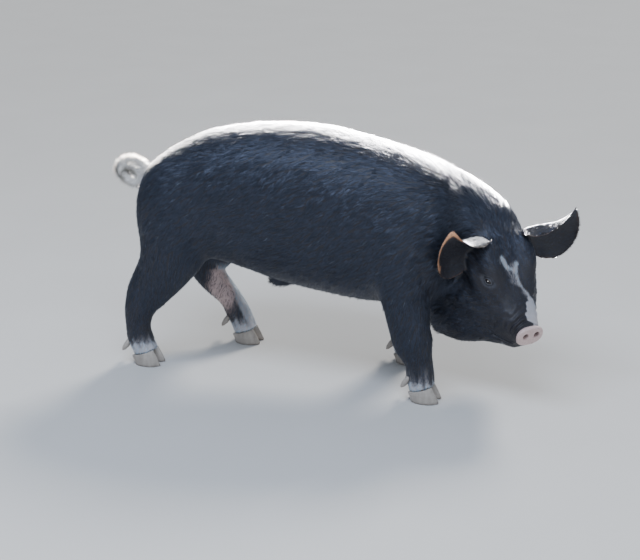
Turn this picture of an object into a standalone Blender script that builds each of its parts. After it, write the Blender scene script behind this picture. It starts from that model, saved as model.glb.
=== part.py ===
"""A young black pig of the Berkshire type, as a still, life-size model in a slow walking stance.

The right hind leg is stretched back and the left one is set forward, the right foreleg reaches
forward, and the head is lowered and turned to the pig's right.  The flesh is lofted, fused into one
closed skin, and then parted with thin cuts where a person would name its parts.  Ears, tail, eyes,
snout disc and claws are solids of their own.  Metres, +X towards the head, +Y to the pig's left.
"""

import math

import bmesh
import bpy
import numpy as np
from mathutils import Matrix, Vector

# ---- driving dimensions, metres and degrees ----
GAP = 0.0004  # clearance between pieces that touch
CUT = 0.0006  # thickness of a parting cut
VOXEL = 0.0055  # cell of the fused flesh
FUSE_PASSES = 9  # smoothing passes that round every join
BODY_PASSES = 30  # more of them on the body above the elbows, and fewer on the head
HEAD_SHARE = 0.40  # of the body's passes, behind the muzzle
FLESH_TRIANGLES = 3450
RING_SIDES = 28

HEAD_YAW = 48.0  # turned to the pig's right
HEAD_PITCH = 20.0  # line of the mouth, nose down
HEAD_ROLL = 3.0  # right ear lower
SNOUT_CENTRE = Vector((0.570, -0.1065, 0.183))
EYE_RADIUS = 0.0125
SNOUT_DEPTH = 0.011
SNOUT_HALF_WIDTH = 0.0325
SNOUT_HALF_HEIGHT = 0.0245
SNOUT_RISE = 0.001  # of the disc's middle above the head's axis
NOSTRIL_DEPTH = 0.0065
NOSTRIL_OUT = 0.0125  # from the middle of the disc
NOSTRIL_RADIUS = 0.0062  # at the face of the disc
NOSTRIL_FLOOR = 0.0034

SKIN_BLACK = (0.012, 0.013, 0.018)
SKIN_PINK = (0.55, 0.36, 0.33)
HAIR_WHITE = (0.72, 0.68, 0.62)
HORN_GREY = (0.32, 0.29, 0.27)
EYE_BROWN = (0.02, 0.012, 0.008)


# ---- scene, materials and small helpers ----
def clear_scene():
    for thing in list(bpy.data.objects):
        bpy.data.objects.remove(thing, do_unlink=True)


def finish(name, colour, roughness):
    material = bpy.data.materials.get(name) or bpy.data.materials.new(name)
    material.use_nodes = True
    shader = material.node_tree.nodes["Principled BSDF"]
    shader.inputs["Base Color"].default_value = (*colour, 1.0)
    shader.inputs["Roughness"].default_value = roughness
    shader.inputs["Metallic"].default_value = 0.0
    return material


def link(name, mesh, material=None):
    thing = bpy.data.objects.new(name, mesh)
    bpy.context.scene.collection.objects.link(thing)
    if material:
        mesh.materials.clear()
        mesh.materials.append(material)
    return thing


def remove(*things):
    for thing in things:
        bpy.data.objects.remove(thing, do_unlink=True)


def bake(thing):
    """Replaces an object's mesh by the one that its modifiers make."""
    graph = bpy.context.evaluated_depsgraph_get()
    mesh = bpy.data.meshes.new_from_object(thing.evaluated_get(graph))
    thing.modifiers.clear()
    thing.data = mesh
    return thing


def smooth_rows(rows, steps):
    """Rows of numbers, with `steps` rows from each to the next on a Catmull-Rom curve through them."""
    rows = np.array(rows, float)
    ends = np.vstack([2 * rows[0] - rows[1], rows, 2 * rows[-1] - rows[-2]])
    out = []
    for i in range(1, len(ends) - 2):
        before, here, after, later = ends[i - 1 : i + 3]
        for t in np.arange(steps) / steps:
            out.append(
                0.5
                * (
                    2 * here
                    + (after - before) * t
                    + (2 * before - 5 * here + 4 * after - later) * t**2
                    + (3 * here - before - 3 * after + later) * t**3
                )
            )
    out.append(rows[-1])
    return np.array(out)


def oval(centre, across, up, half_width, rise, drop, power=2.2, sides=RING_SIDES):
    """A ring of points: a rounded-square oval, `rise` above its centre and `drop` below it."""
    points = []
    for k in range(sides):
        angle = 2 * math.pi * k / sides
        c, s = math.cos(angle), math.sin(angle)
        x = math.copysign(abs(c) ** (2 / power), c) * half_width
        y = math.copysign(abs(s) ** (2 / power), s) * (rise if s > 0 else drop)
        points.append(Vector(centre) + Vector(across) * x + Vector(up) * y)
    return points


def loft(name, rings, material=None):
    """A closed mesh through rings of equal count, with flat ends."""
    shape = bmesh.new()
    loops = [[shape.verts.new(p) for p in ring] for ring in rings]
    count = len(loops[0])
    for first, second in zip(loops, loops[1:]):
        for k in range(count):
            following = (k + 1) % count
            shape.faces.new(
                (first[k], first[following], second[following], second[k])
            )
    shape.faces.new(reversed(loops[0]))
    shape.faces.new(loops[-1])
    bmesh.ops.recalc_face_normals(shape, faces=shape.faces)
    mesh = bpy.data.meshes.new(name)
    shape.to_mesh(mesh)
    shape.free()
    return link(name, mesh, material)


def boolean(target, operation, cutter, drop_cutter=True):
    modifier = target.modifiers.new("cut", "BOOLEAN")
    modifier.operation = operation
    modifier.object = cutter
    modifier.solver = "EXACT"
    bake(target)
    if drop_cutter:
        remove(cutter)
    return target


def triangles(thing):
    thing.data.calc_loop_triangles()
    return len(thing.data.loop_triangles)


def thin_out(thing, count):
    """Collapses edges until about `count` triangles are left."""
    now = triangles(thing)
    if now > count:
        modifier = thing.modifiers.new("thin", "DECIMATE")
        modifier.ratio = count / now
        modifier.use_collapse_triangulate = True
        bake(thing)
    return thing


def grown(thing, distance):
    """A copy of a closed mesh with its surface moved out along the normals."""
    copy = link(thing.name + "_grown", thing.data.copy())
    places = np.array([v.co + v.normal * distance for v in thing.data.vertices])
    copy.data.vertices.foreach_set("co", places.ravel())
    return copy


# ---- the head's own frame ----
def head_axes():
    turn = (
        Matrix.Rotation(math.radians(-HEAD_YAW), 3, "Z")
        @ Matrix.Rotation(math.radians(HEAD_PITCH), 3, "Y")
        @ Matrix.Rotation(math.radians(HEAD_ROLL), 3, "X")
    )
    return turn @ Vector((1, 0, 0)), turn @ Vector((0, 1, 0)), turn @ Vector((0, 0, 1))


FORWARD, LEFT, UP = head_axes()


def in_head(back, left, up):
    """A place from its distance behind the face of the snout, to the head's left and above."""
    return SNOUT_CENTRE - FORWARD * back + LEFT * left + UP * up


# ---- trunk and neck ----
def make_trunk():
    """Stations down the back: x, top, underside, half width."""
    stations = [
        (-0.372, 0.432, 0.382, 0.028),
        (-0.362, 0.456, 0.338, 0.070),
        (-0.326, 0.494, 0.292, 0.109),
        (-0.250, 0.543, 0.270, 0.130),
        (-0.130, 0.574, 0.248, 0.140),
        (-0.020, 0.586, 0.222, 0.146),
        (0.080, 0.584, 0.208, 0.147),
        (0.170, 0.569, 0.199, 0.142),
        (0.250, 0.550, 0.200, 0.134),
        (0.320, 0.527, 0.212, 0.120),
        (0.370, 0.500, 0.240, 0.098),
        (0.400, 0.466, 0.290, 0.062),
    ]
    rings = []
    for x, top, under, half_width in smooth_rows(stations, 3):
        middle = under + 0.46 * (top - under)
        rings.append(
            oval((x, 0, middle), (0, 1, 0), (0, 0, 1), half_width, top - middle, middle - under, 2.35)
        )
    return loft("trunk_form", rings)


def make_neck():
    """Place, half width, rise, drop and share of the head's turn, from the chest into the skull."""
    stations = [
        (0.255, 0.000, 0.385, 0.120, 0.158, 0.150, 0.00),
        (0.325, 0.006, 0.368, 0.114, 0.150, 0.164, 0.15),
        (0.376, 0.016, 0.344, 0.108, 0.142, 0.166, 0.42),
        (0.414, 0.024, 0.314, 0.101, 0.138, 0.156, 0.75),
        (0.440, 0.018, 0.292, 0.090, 0.126, 0.132, 1.00),
    ]
    rings = []
    for x, y, z, half_width, rise, drop, share in smooth_rows(stations, 4):
        turn = Matrix.Rotation(math.radians(-HEAD_YAW * share), 3, "Z") @ Matrix.Rotation(
            math.radians(HEAD_PITCH * share), 3, "Y"
        )
        across, up = turn @ Vector((0, 1, 0)), turn @ Vector((0, 0, 1))
        rings.append(oval((x, y, z), across, up, half_width, rise, drop, 2.7))
    return loft("neck_form", rings)


def make_sheath():
    """The fold on the belly midline, drooping to a blunt point."""
    stations = [
        (0.030, 0.232, 0.012, 0.014),
        (-0.005, 0.224, 0.021, 0.023),
        (-0.040, 0.222, 0.022, 0.029),
        (-0.062, 0.225, 0.015, 0.023),
    ]
    rings = [
        oval((x, 0, z), (0, 1, 0), (0, 0, 1), half_width, rise, rise, 2)
        for x, z, half_width, rise in smooth_rows(stations, 3)
    ]
    return loft("sheath_form", rings)


# ---- head ----
def make_skull():
    """Down the head: distance behind the snout, top, underside, half width, height of the widest level."""
    stations = [
        (0.006, 0.022, -0.021, 0.029, 0.001),
        (0.028, 0.030, -0.034, 0.036, -0.002),
        (0.055, 0.043, -0.048, 0.048, -0.003),
        (0.082, 0.062, -0.060, 0.058, 0.002),
        (0.106, 0.084, -0.068, 0.063, 0.012),
        (0.132, 0.112, -0.068, 0.068, 0.026),
        (0.162, 0.138, -0.074, 0.073, 0.040),
        (0.192, 0.156, -0.078, 0.077, 0.048),
        (0.220, 0.160, -0.080, 0.077, 0.048),
        (0.245, 0.148, -0.070, 0.070, 0.045),
    ]
    rings = []
    for back, top, under, half_width, level in smooth_rows(stations, 3):
        rings.append(
            oval(in_head(back, 0, level), LEFT, UP, half_width, top - level, level - under, 2.6)
        )
    return loft("skull_form", rings)


def rope(name, rows, side, sides=16):
    """A row of discs on one side of the head: distance back, out, up, size."""
    return loft(
        name,
        [
            oval(in_head(back, side * out, up), LEFT, UP, size, size, size, 2, sides)
            for back, out, up, size in smooth_rows(rows, 3)
        ],
    )


def make_cheeks():
    """The bony rim above each eye, the temple, the muscle of the cheek, and the jowl."""
    brow = [
        (0.074, 0.030, 0.034, 0.013),
        (0.094, 0.039, 0.062, 0.018),
        (0.116, 0.044, 0.088, 0.023),
        (0.146, 0.044, 0.110, 0.026),
        (0.172, 0.040, 0.122, 0.026),
    ]
    cheek = [
        (0.080, 0.024, -0.004, 0.036),
        (0.120, 0.040, -0.006, 0.047),
        (0.165, 0.050, -0.006, 0.054),
        (0.205, 0.050, -0.004, 0.055),
        (0.240, 0.040, 0.000, 0.048),
    ]
    temple = [
        (0.080, 0.030, 0.022, 0.026),
        (0.112, 0.041, 0.038, 0.032),
        (0.142, 0.046, 0.066, 0.036),
        (0.172, 0.047, 0.086, 0.040),
        (0.200, 0.046, 0.090, 0.042),
        (0.230, 0.040, 0.084, 0.042),
    ]
    jowl = [
        (0.020, 0.010, -0.034, 0.018),
        (0.055, 0.018, -0.039, 0.028),
        (0.095, 0.034, -0.048, 0.040),
        (0.135, 0.046, -0.060, 0.050),
        (0.175, 0.052, -0.066, 0.054),
        (0.210, 0.052, -0.064, 0.054),
        (0.245, 0.042, -0.050, 0.050),
    ]
    pinched = [  # the right jowl, which the turn of the neck pushes out and down
        *jowl[:3],
        (0.135, 0.052, -0.065, 0.052),
        (0.175, 0.064, -0.076, 0.058),
        (0.212, 0.070, -0.080, 0.058),
        (0.245, 0.058, -0.066, 0.050),
    ]
    forms = []
    for side in (-1, 1):
        forms.append(rope("brow_form", brow, side))
        forms.append(rope("cheek_form", cheek, side))
        forms.append(rope("temple_form", temple, side))
        forms.append(rope("jowl_form", jowl if side > 0 else pinched, side))
    return forms


# ---- legs ----
# Stations down each leg: place, half length from front to back, half thickness from side to side.
FORELEG_RIGHT = [
    (0.222, 0.060, 0.460, 0.060, 0.060),
    (0.234, 0.074, 0.390, 0.082, 0.066),
    (0.262, 0.088, 0.320, 0.075, 0.056),
    (0.283, 0.095, 0.262, 0.060, 0.049),
    (0.293, 0.098, 0.215, 0.054, 0.043),
    (0.302, 0.100, 0.170, 0.050, 0.038),
    (0.311, 0.100, 0.130, 0.046, 0.035),
    (0.323, 0.100, 0.094, 0.034, 0.029),
    (0.328, 0.100, 0.062, 0.034, 0.031),
    (0.332, 0.100, 0.036, 0.033, 0.033),
    (0.337, 0.100, 0.012, 0.031, 0.033),
]
FORELEG_LEFT = [
    (0.222, 0.060, 0.460, 0.060, 0.060),
    (0.230, 0.074, 0.390, 0.084, 0.066),
    (0.238, 0.088, 0.320, 0.084, 0.056),
    (0.246, 0.095, 0.262, 0.068, 0.049),
    (0.249, 0.098, 0.215, 0.056, 0.042),
    (0.250, 0.100, 0.170, 0.048, 0.037),
    (0.248, 0.100, 0.130, 0.042, 0.034),
    (0.244, 0.100, 0.094, 0.034, 0.029),
    (0.240, 0.100, 0.062, 0.034, 0.031),
    (0.245, 0.100, 0.036, 0.033, 0.033),
    (0.251, 0.100, 0.012, 0.031, 0.033),
]
HINDLEG_RIGHT = [
    (-0.232, 0.056, 0.490, 0.078, 0.058),
    (-0.246, 0.070, 0.430, 0.108, 0.068),
    (-0.255, 0.082, 0.360, 0.106, 0.066),
    (-0.268, 0.091, 0.295, 0.087, 0.055),
    (-0.295, 0.096, 0.238, 0.066, 0.042),
    (-0.332, 0.099, 0.186, 0.054, 0.034),
    (-0.355, 0.100, 0.142, 0.040, 0.031),
    (-0.363, 0.100, 0.098, 0.032, 0.027),
    (-0.359, 0.100, 0.062, 0.033, 0.031),
    (-0.347, 0.100, 0.036, 0.033, 0.033),
    (-0.339, 0.100, 0.012, 0.031, 0.033),
]
HINDLEG_LEFT = [
    (-0.232, 0.056, 0.490, 0.078, 0.058),
    (-0.236, 0.070, 0.430, 0.106, 0.068),
    (-0.228, 0.082, 0.360, 0.108, 0.066),
    (-0.226, 0.091, 0.295, 0.092, 0.055),
    (-0.244, 0.096, 0.243, 0.066, 0.042),
    (-0.268, 0.099, 0.198, 0.051, 0.034),
    (-0.250, 0.100, 0.156, 0.039, 0.031),
    (-0.208, 0.100, 0.112, 0.030, 0.027),
    (-0.184, 0.100, 0.070, 0.032, 0.031),
    (-0.168, 0.100, 0.036, 0.033, 0.033),
    (-0.160, 0.100, 0.012, 0.031, 0.033),
]
LEGS = {
    "foreleg_right": (FORELEG_RIGHT, -1),
    "foreleg_left": (FORELEG_LEFT, 1),
    "hindleg_right": (HINDLEG_RIGHT, -1),
    "hindleg_left": (HINDLEG_LEFT, 1),
}
ELBOW, KNEE, FETLOCK, CORONET = 4, 6, 8, 9  # which stations these are


def make_leg(name, stations, side):
    """A leg's loft. Each ring is square to the leg's run there."""
    signed = [(x, side * y, z, a, b) for x, y, z, a, b in stations]
    rows = smooth_rows(signed, 3)
    rings = []
    for i, row in enumerate(rows):
        before, after = rows[max(i - 1, 0)][:3], rows[min(i + 1, len(rows) - 1)][:3]
        run = Vector(after) - Vector(before)
        run.y = 0
        run.normalize()
        if i > len(rows) - 7:
            run = Vector((0, 0, -1))
        along = Vector((0, 1, 0)).cross(run)
        rings.append(oval(row[:3], along, (0, 1, 0), row[3], row[4], row[4], 2.1, 20))
    return loft(name + "_form", rings)


# ---- claws ----
CLAW_LENGTH = 0.064
CLAW_WIDTH = 0.030
CLAW_SIDES = 14
CLEFT = 0.004
CORONET_SLOPE = 17.0  # the coronet is lower at the heel
CORONET_HEIGHT = 0.0302


def claw_outline(centre, length, width, outer, lift, slope):
    """One claw's outline: a pointed toe, a round heel, and a flatter wall on the cleft's side."""
    points = []
    for k in range(CLAW_SIDES):
        angle = 2 * math.pi * k / CLAW_SIDES
        c, s = math.cos(angle), math.sin(angle)
        along = 0.5 * length * math.copysign(abs(c) ** 0.9, c)
        taper = 1.0 - 0.34 * max(c, 0) ** 2
        across = 0.5 * width * s * taper
        if s * outer < 0:
            across *= 0.84
        toe_in = -outer * 0.10 * width * max(c, 0) ** 2
        points.append(
            Vector((centre.x + along, centre.y + across + toe_in, lift + slope * along))
        )
    return points


def make_claws(leg, ankle, side, horn):
    """The two main claws under a coronet. They stand on flat soles at the floor."""
    claws = []
    slope = math.tan(math.radians(CORONET_SLOPE))
    for name, outer in (("outer", side), ("inner", -side)):
        middle_y = ankle.y + outer * 0.5 * (CLAW_WIDTH + CLEFT)
        rings = []
        for lift, length, width, back in (
            (0.0000, 0.97, 0.95, 0.000),
            (0.0030, 1.00, 1.00, 0.000),
            (0.0160, 0.94, 1.00, 0.0050),
            (0.0300, 0.84, 0.93, 0.0125),
        ):
            centre = Vector((ankle.x + 0.012 - back, middle_y, 0))
            share = lift / 0.030
            rings.append(
                claw_outline(
                    centre,
                    CLAW_LENGTH * length,
                    CLAW_WIDTH * width,
                    outer,
                    lift,
                    slope * share**2,
                )
            )
        claws.append(loft(f"{leg}_claw_{name}", rings, horn))
    return claws


def make_dewclaws(leg, fetlock, side, horn):
    """Two small claws behind the fetlock, which point down and back and clear the floor."""
    claws = []
    for name, outer in (("outer", side), ("inner", -side)):
        root = Vector((fetlock.x - 0.018, fetlock.y + outer * 0.017, fetlock.z - 0.002))
        tip = root + Vector((-0.020, outer * 0.003, -0.027))
        run = (tip - root).normalized()
        across = Vector((0, 1, 0))
        up = run.cross(across).normalized()
        rings = []
        for share, half_width, half_depth in (
            (0.0, 0.0085, 0.0070),
            (0.5, 0.0088, 0.0072),
            (0.86, 0.0066, 0.0048),
            (1.0, 0.0034, 0.0020),
        ):
            rings.append(
                oval(root.lerp(tip, share), across, up, half_width, half_depth, half_depth, 2, 7)
            )
        claws.append(loft(f"{leg}_dewclaw_{name}", rings, horn))
    return claws


# ---- ears, eyes and tail ----
# Rows from an ear's root to its tip: top edge, then lower edge (each back, out, up), then how far
# the middle lies behind the edges, and the thickness.
EAR_ROWS = [
    (0.160, 0.038, 0.158, 0.172, 0.068, 0.086, 0.020, 0.0100),
    (0.152, 0.058, 0.170, 0.160, 0.098, 0.074, 0.032, 0.0085),
    (0.146, 0.082, 0.176, 0.152, 0.132, 0.070, 0.034, 0.0070),
    (0.142, 0.106, 0.182, 0.148, 0.158, 0.088, 0.029, 0.0060),
    (0.140, 0.126, 0.192, 0.146, 0.173, 0.122, 0.020, 0.0052),
    (0.141, 0.140, 0.203, 0.146, 0.172, 0.162, 0.011, 0.0046),
    (0.145, 0.148, 0.212, 0.147, 0.161, 0.194, 0.004, 0.0040),
]
EAR_SPAN = 7  # points from edge to edge


def make_ear(name, side, material):
    """A cupped leaf that opens forward, with its tip at the outer end of the top edge."""
    rings = []
    for row in smooth_rows(EAR_ROWS, 2):
        top = in_head(row[0], side * row[1], row[2])
        lower = in_head(row[3], side * row[4], row[5])
        across = lower - top
        behind = -FORWARD + LEFT * side * 0.25
        behind = (behind - across * behind.dot(across) / across.length_squared).normalized()
        front_wall, back_wall = [], []
        for k in range(EAR_SPAN):
            share = k / (EAR_SPAN - 1)
            bow = math.sin(math.pi * share) ** 0.7
            wall = row[7] * (0.35 + 0.65 * math.sin(math.pi * share) ** 0.5)
            place = top + across * share + behind * row[6] * bow
            front_wall.append(place - behind * 0.5 * wall)
            back_wall.append(place + behind * 0.5 * wall)
        rings.append(front_wall + back_wall[::-1])
    return loft(name, rings, material)


EYE_PLACE = (0.123, 0.082)  # distance behind the snout, and height above the head's axis
EYE_SHOWS = 0.0026  # how far the ball stands out of the flesh


def ball(name, centre, radius, material=None):
    shape = bmesh.new()
    bmesh.ops.create_uvsphere(shape, u_segments=12, v_segments=8, radius=radius)
    bmesh.ops.translate(shape, verts=shape.verts, vec=centre)
    mesh = bpy.data.meshes.new(name)
    shape.to_mesh(mesh)
    shape.free()
    return link(name, mesh, material)


def seat_of_eye(flesh, side):
    """The middle of an eyeball, so that it stands out of the flesh by EYE_SHOWS."""
    start = in_head(EYE_PLACE[0] - 0.03, side * 0.2, EYE_PLACE[1] + 0.03)
    target = in_head(EYE_PLACE[0], 0, EYE_PLACE[1] - 0.02)
    hit, place, normal, _ = flesh.ray_cast(start, (target - start).normalized())
    assert hit
    return place - normal * (EYE_RADIUS - EYE_SHOWS)


TAIL_ROOT = Vector((-0.342, 0.0, 0.442))
TAIL_HUB = Vector((-0.4046, 0.004, 0.4470))
TAIL_LONG = 0.0275 * Vector((0.89, 0.10, -0.44))
TAIL_SHORT = 0.0165 * Vector((0.36, 0.50, 0.79))
TAIL_TURNS = 1.5
TAIL_DRIFT = Vector((-0.001, -0.0200, -0.0080))  # from one turn to the next


def make_tail(material):
    """A tapering tail in a flattened coil. It leaves the rump upwards and ends under its own first turn."""
    steps = 27
    places = [TAIL_ROOT, TAIL_ROOT + Vector((-0.010, 0.001, 0.004))]
    for i in range(steps):
        t = i / (steps - 1)
        angle = math.radians(38) + 2 * math.pi * TAIL_TURNS * t
        shrink = 1.0 - 0.16 * t
        drift = TAIL_DRIFT * TAIL_TURNS * t
        places.append(
            TAIL_HUB
            + TAIL_LONG * math.cos(angle) * shrink
            + TAIL_SHORT * math.sin(angle) * shrink
            + drift
        )
    rings = []
    for i, place in enumerate(places):
        t = i / (len(places) - 1)
        run = places[min(i + 1, len(places) - 1)] - places[max(i - 1, 0)]
        run.normalize()
        up = run.cross(Vector((0, 1, 0))).normalized()
        across = up.cross(run).normalized()
        size = 0.0080 * (1 - t) ** 0.6 + 0.0024
        rings.append(oval(place, across, up, size, size, size, 2, 8))
    return loft("tail", rings, material)


# ---- fusing and parting ----
def fuse_flesh(forms):
    """Joins the lofts into one skin, rounds the joins and thins the mesh."""
    bpy.ops.object.select_all(action="DESELECT")
    for form in forms:
        form.select_set(True)
    bpy.context.view_layer.objects.active = forms[0]
    bpy.ops.object.join()
    flesh = bpy.context.view_layer.objects.active
    flesh.name = "flesh"
    remesh = flesh.modifiers.new("fuse", "REMESH")
    remesh.mode = "VOXEL"
    remesh.voxel_size = VOXEL
    smooth = flesh.modifiers.new("round", "SMOOTH")
    smooth.factor = 0.5
    smooth.iterations = FUSE_PASSES
    bake(flesh)
    body = flesh.vertex_groups.new(name="body")
    for vertex in flesh.data.vertices:
        x, y, z = vertex.co
        weight = min(max((z - 0.19) / 0.06, 0), 1) * min(max((0.40 - x) / 0.05, 0), 1)
        back = (SNOUT_CENTRE - vertex.co).dot(FORWARD)
        if x > 0.40 or back < 0.24:
            weight = max(weight, HEAD_SHARE * min(max((back - 0.030) / 0.05, 0), 1) * (x > 0.36))
        if weight > 0:
            body.add([vertex.index], weight, "REPLACE")
    smooth = flesh.modifiers.new("round_body", "SMOOTH")
    smooth.factor = 0.5
    smooth.iterations = BODY_PASSES
    smooth.vertex_group = "body"
    bake(flesh)
    flesh.vertex_groups.clear()
    return thin_out(flesh, FLESH_TRIANGLES)


def slab(centre, normal, half_width, half_height, up=(0, 0, 1)):
    """A thin plate of CUT thickness, square to `normal`, used as a cutter."""
    normal = Vector(normal).normalized()
    across = Vector(up).cross(normal).normalized()
    rise = normal.cross(across)
    rings = []
    for end in (-0.5, 0.5):
        middle = Vector(centre) + normal * (CUT * end)
        rings.append(
            [
                middle + across * half_width * a + rise * half_height * b
                for a, b in ((-1, -1), (1, -1), (1, 1), (-1, 1))
            ]
        )
    return loft("parting", rings)


# Half sizes of the parting plates: across the cut, then along it.
ELBOW_PLATE = (0.085, 0.070)
THIGH_PLATE = (0.120, 0.170)
KNEE_PLATE = (0.060, 0.080)
CORONET_PLATE = (0.052, 0.052)
THIGH_CUT_DROP = 0.004  # below its station
SHOULDER_CUT_X = 0.360
SKULL_CUT = (0.445, 0.018, 0.300)
SKULL_CUT_NORMAL = (0.887, -0.413, -0.208)
MOUTH_CUT = (0.048, -0.031)  # behind the snout's face and above the head's axis
JAW_CUT = (0.130, -0.080)


def leg_plates():
    """The plates that part each leg from the trunk, at the knee or hock, and at the coronet."""
    plates = []
    lengthwise = (1, 0, 0)
    slope = math.radians(CORONET_SLOPE)
    for stations, side in LEGS.values():
        places = [Vector((x, side * y, z)) for x, y, z, *_ in stations]
        if places[0].x > 0:
            plates.append(slab(places[ELBOW], (0, side * -0.55, 1), *ELBOW_PLATE, lengthwise))
        else:
            thigh = places[ELBOW - 1] - Vector((0, 0, THIGH_CUT_DROP))
            plates.append(slab(thigh, (0.5, side * -0.62, 1), *THIGH_PLATE, lengthwise))
        knee = places[KNEE].lerp(places[KNEE - 1], 0.4)
        run = places[KNEE - 2] - places[KNEE + 1]
        run.y = 0
        knee.y = places[KNEE].y
        plates.append(slab(knee, run, *KNEE_PLATE, lengthwise))
        coronet = places[CORONET].copy()
        coronet.z = CORONET_HEIGHT + 0.5 * CUT
        level = (-math.sin(slope), 0, math.cos(slope))
        plates.append(slab(coronet, level, *CORONET_PLATE, lengthwise))
    return plates


def neck_plates():
    """The plates in front of the shoulders and behind the skull."""
    return [
        slab((SHOULDER_CUT_X, 0, 0.36), (1, 0, 0), 0.19, 0.26),
        slab(SKULL_CUT, SKULL_CUT_NORMAL, 0.175, 0.220),
    ]


def head_plates():
    """The plates that part the lower jaw and end the snout behind its disc."""
    mouth = in_head(MOUTH_CUT[0], 0, MOUTH_CUT[1])
    jaw = in_head(JAW_CUT[0], 0, JAW_CUT[1])
    return [
        slab(mouth, UP + FORWARD * 0.12, 0.092, 0.060, FORWARD),
        slab(jaw, FORWARD - UP * 0.48, 0.135, 0.066, UP),
        slab(in_head(SNOUT_DEPTH + 0.5 * CUT, 0, 0), FORWARD, 0.055, 0.050, UP),
    ]


def part_by(thing, plates):
    """Cuts an object by every plate and returns its separate bodies, the smallest first."""
    for plate in plates:
        boolean(thing, "DIFFERENCE", plate)
    return sorted(loose_pieces(thing), key=triangles)


def loose_pieces(thing):
    """Splits an object into its separate bodies."""
    bpy.ops.object.select_all(action="DESELECT")
    thing.select_set(True)
    bpy.context.view_layer.objects.active = thing
    bpy.ops.mesh.separate(type="LOOSE")
    return list(bpy.context.selected_objects)


def middle_of(thing):
    corners = np.array([v.co for v in thing.data.vertices])
    return Vector((corners.min(0) + corners.max(0)) / 2)


def piece_labels():
    """Where the middle of each piece of flesh lies. Pieces named `waste` are thrown away."""
    labels = {
        "trunk": Vector((0, 0, 0.36)),
        "neck": Vector((0.40, 0.01, 0.33)),
        "head": in_head(0.120, 0, 0.030),
        "lower_jaw": in_head(0.070, 0, -0.070),
        "waste_snout": in_head(0, 0, 0),
    }
    for leg, (stations, side) in LEGS.items():
        places = [Vector((row[0], side * row[1], row[2])) for row in stations]
        labels[leg + "_upper"] = places[ELBOW].lerp(places[ELBOW + 1], 0.5)
        labels[leg + "_lower"] = places[KNEE + 1].lerp(places[FETLOCK], 0.3)
        labels["waste_" + leg] = places[CORONET + 1]
    return labels


def name_pieces(pieces):
    """Names each piece by the nearest label and removes the waste."""
    labels = piece_labels()
    named = {}
    for piece in pieces:
        middle = middle_of(piece)
        name = min(labels, key=lambda label: (labels[label] - middle).length)
        assert name not in named, name
        named[name] = piece
    assert len(named) == len(labels)
    for name, piece in named.items():
        if name.startswith("waste"):
            remove(piece)
        else:
            piece.name = name
            piece.data.name = name
    return {name: piece for name, piece in named.items() if not name.startswith("waste")}


def trim_to_skin(thing, skin):
    """Cuts away what lies inside the skin and keeps the largest piece."""
    name = thing.name
    boolean(thing, "DIFFERENCE", skin, drop_cutter=False)
    pieces = sorted(loose_pieces(thing), key=triangles)
    remove(*pieces[:-1])
    pieces[-1].name = name
    pieces[-1].data.name = name
    return pieces[-1]


def make_snout(material):
    """The disc at the end of the snout, with two shallow nostrils."""
    rings = []
    for back, grow in ((SNOUT_DEPTH, 0.90), (0.0075, 0.99), (0.0035, 1.0), (0.0008, 0.95), (0.0, 0.86)):
        rings.append(
            oval(
                in_head(back, 0, SNOUT_RISE),
                LEFT,
                UP,
                SNOUT_HALF_WIDTH * grow,
                SNOUT_HALF_HEIGHT * grow,
                SNOUT_HALF_HEIGHT * grow,
                2.4,
                24,
            )
        )
    disc = loft("snout", rings, material)
    for side in (-1, 1):
        pit = loft(
            "nostril",
            [
                oval(in_head(depth, side * NOSTRIL_OUT, SNOUT_RISE), LEFT, UP, size, size, size, 2, 10)
                for depth, size in ((NOSTRIL_DEPTH, NOSTRIL_FLOOR), (-0.001, NOSTRIL_RADIUS))
            ],
        )
        boolean(disc, "DIFFERENCE", pit)
    return disc


def centre_on_origin(things):
    """Moves every mesh so that the box around them all stands centred on the origin."""
    places = np.array([v.co for thing in things for v in thing.data.vertices])
    low, high = places.min(0), places.max(0)
    shift = Vector((-(low[0] + high[0]) / 2, -(low[1] + high[1]) / 2, -low[2]))
    for thing in things:
        thing.data.transform(Matrix.Translation(shift))
    return shift


def main():
    clear_scene()
    black = finish("hide_black", SKIN_BLACK, 0.5)
    pink = finish("snout_pink", SKIN_PINK, 0.45)
    white = finish("tail_white", HAIR_WHITE, 0.6)
    horn = finish("claw_horn", HORN_GREY, 0.5)
    dark_eye = finish("eye_brown", EYE_BROWN, 0.1)

    forms = [make_trunk(), make_neck(), make_sheath(), make_skull(), *make_cheeks()]
    for name, (stations, side) in LEGS.items():
        forms.append(make_leg(name, stations, side))
    flesh = fuse_flesh(forms)
    flesh.data.materials.clear()
    flesh.data.materials.append(black)
    skin = grown(flesh, GAP)

    seats = [(name, seat_of_eye(flesh, side)) for name, side in (("eye_left", 1), ("eye_right", -1))]
    for name, centre in seats:
        boolean(flesh, "DIFFERENCE", ball("socket", centre, EYE_RADIUS + GAP))
        ball(name, centre, EYE_RADIUS, dark_eye)
    pieces = part_by(flesh, leg_plates())
    pieces += part_by(pieces.pop(), neck_plates())
    head = max(pieces, key=lambda piece: middle_of(piece).x)
    pieces.remove(head)
    pieces += part_by(head, head_plates())
    name_pieces(pieces)
    make_snout(pink)

    for name, (stations, side) in LEGS.items():
        x, y, z = stations[CORONET][:3]
        make_claws(name, Vector((x, side * y, z)), side, horn)
        x, y, z = stations[FETLOCK][:3]
        for claw in make_dewclaws(name, Vector((x, side * y, z)), side, horn):
            trim_to_skin(claw, skin)
    for name, side in (("ear_left", 1), ("ear_right", -1)):
        trim_to_skin(make_ear(name, side, black), skin)
    trim_to_skin(make_tail(white), skin)
    remove(skin)
    centre_on_origin(list(bpy.data.objects))


main()
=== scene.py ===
"""A young black pig with white points, as a still, life-size model.

One skin, two eyes, sixteen claws and a coat of short bristles are made over its solids.
"""

import math

import bpy
import numpy as np
from mathutils import Matrix, Vector
from mathutils.bvhtree import BVHTree
from mathutils.kdtree import KDTree


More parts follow.
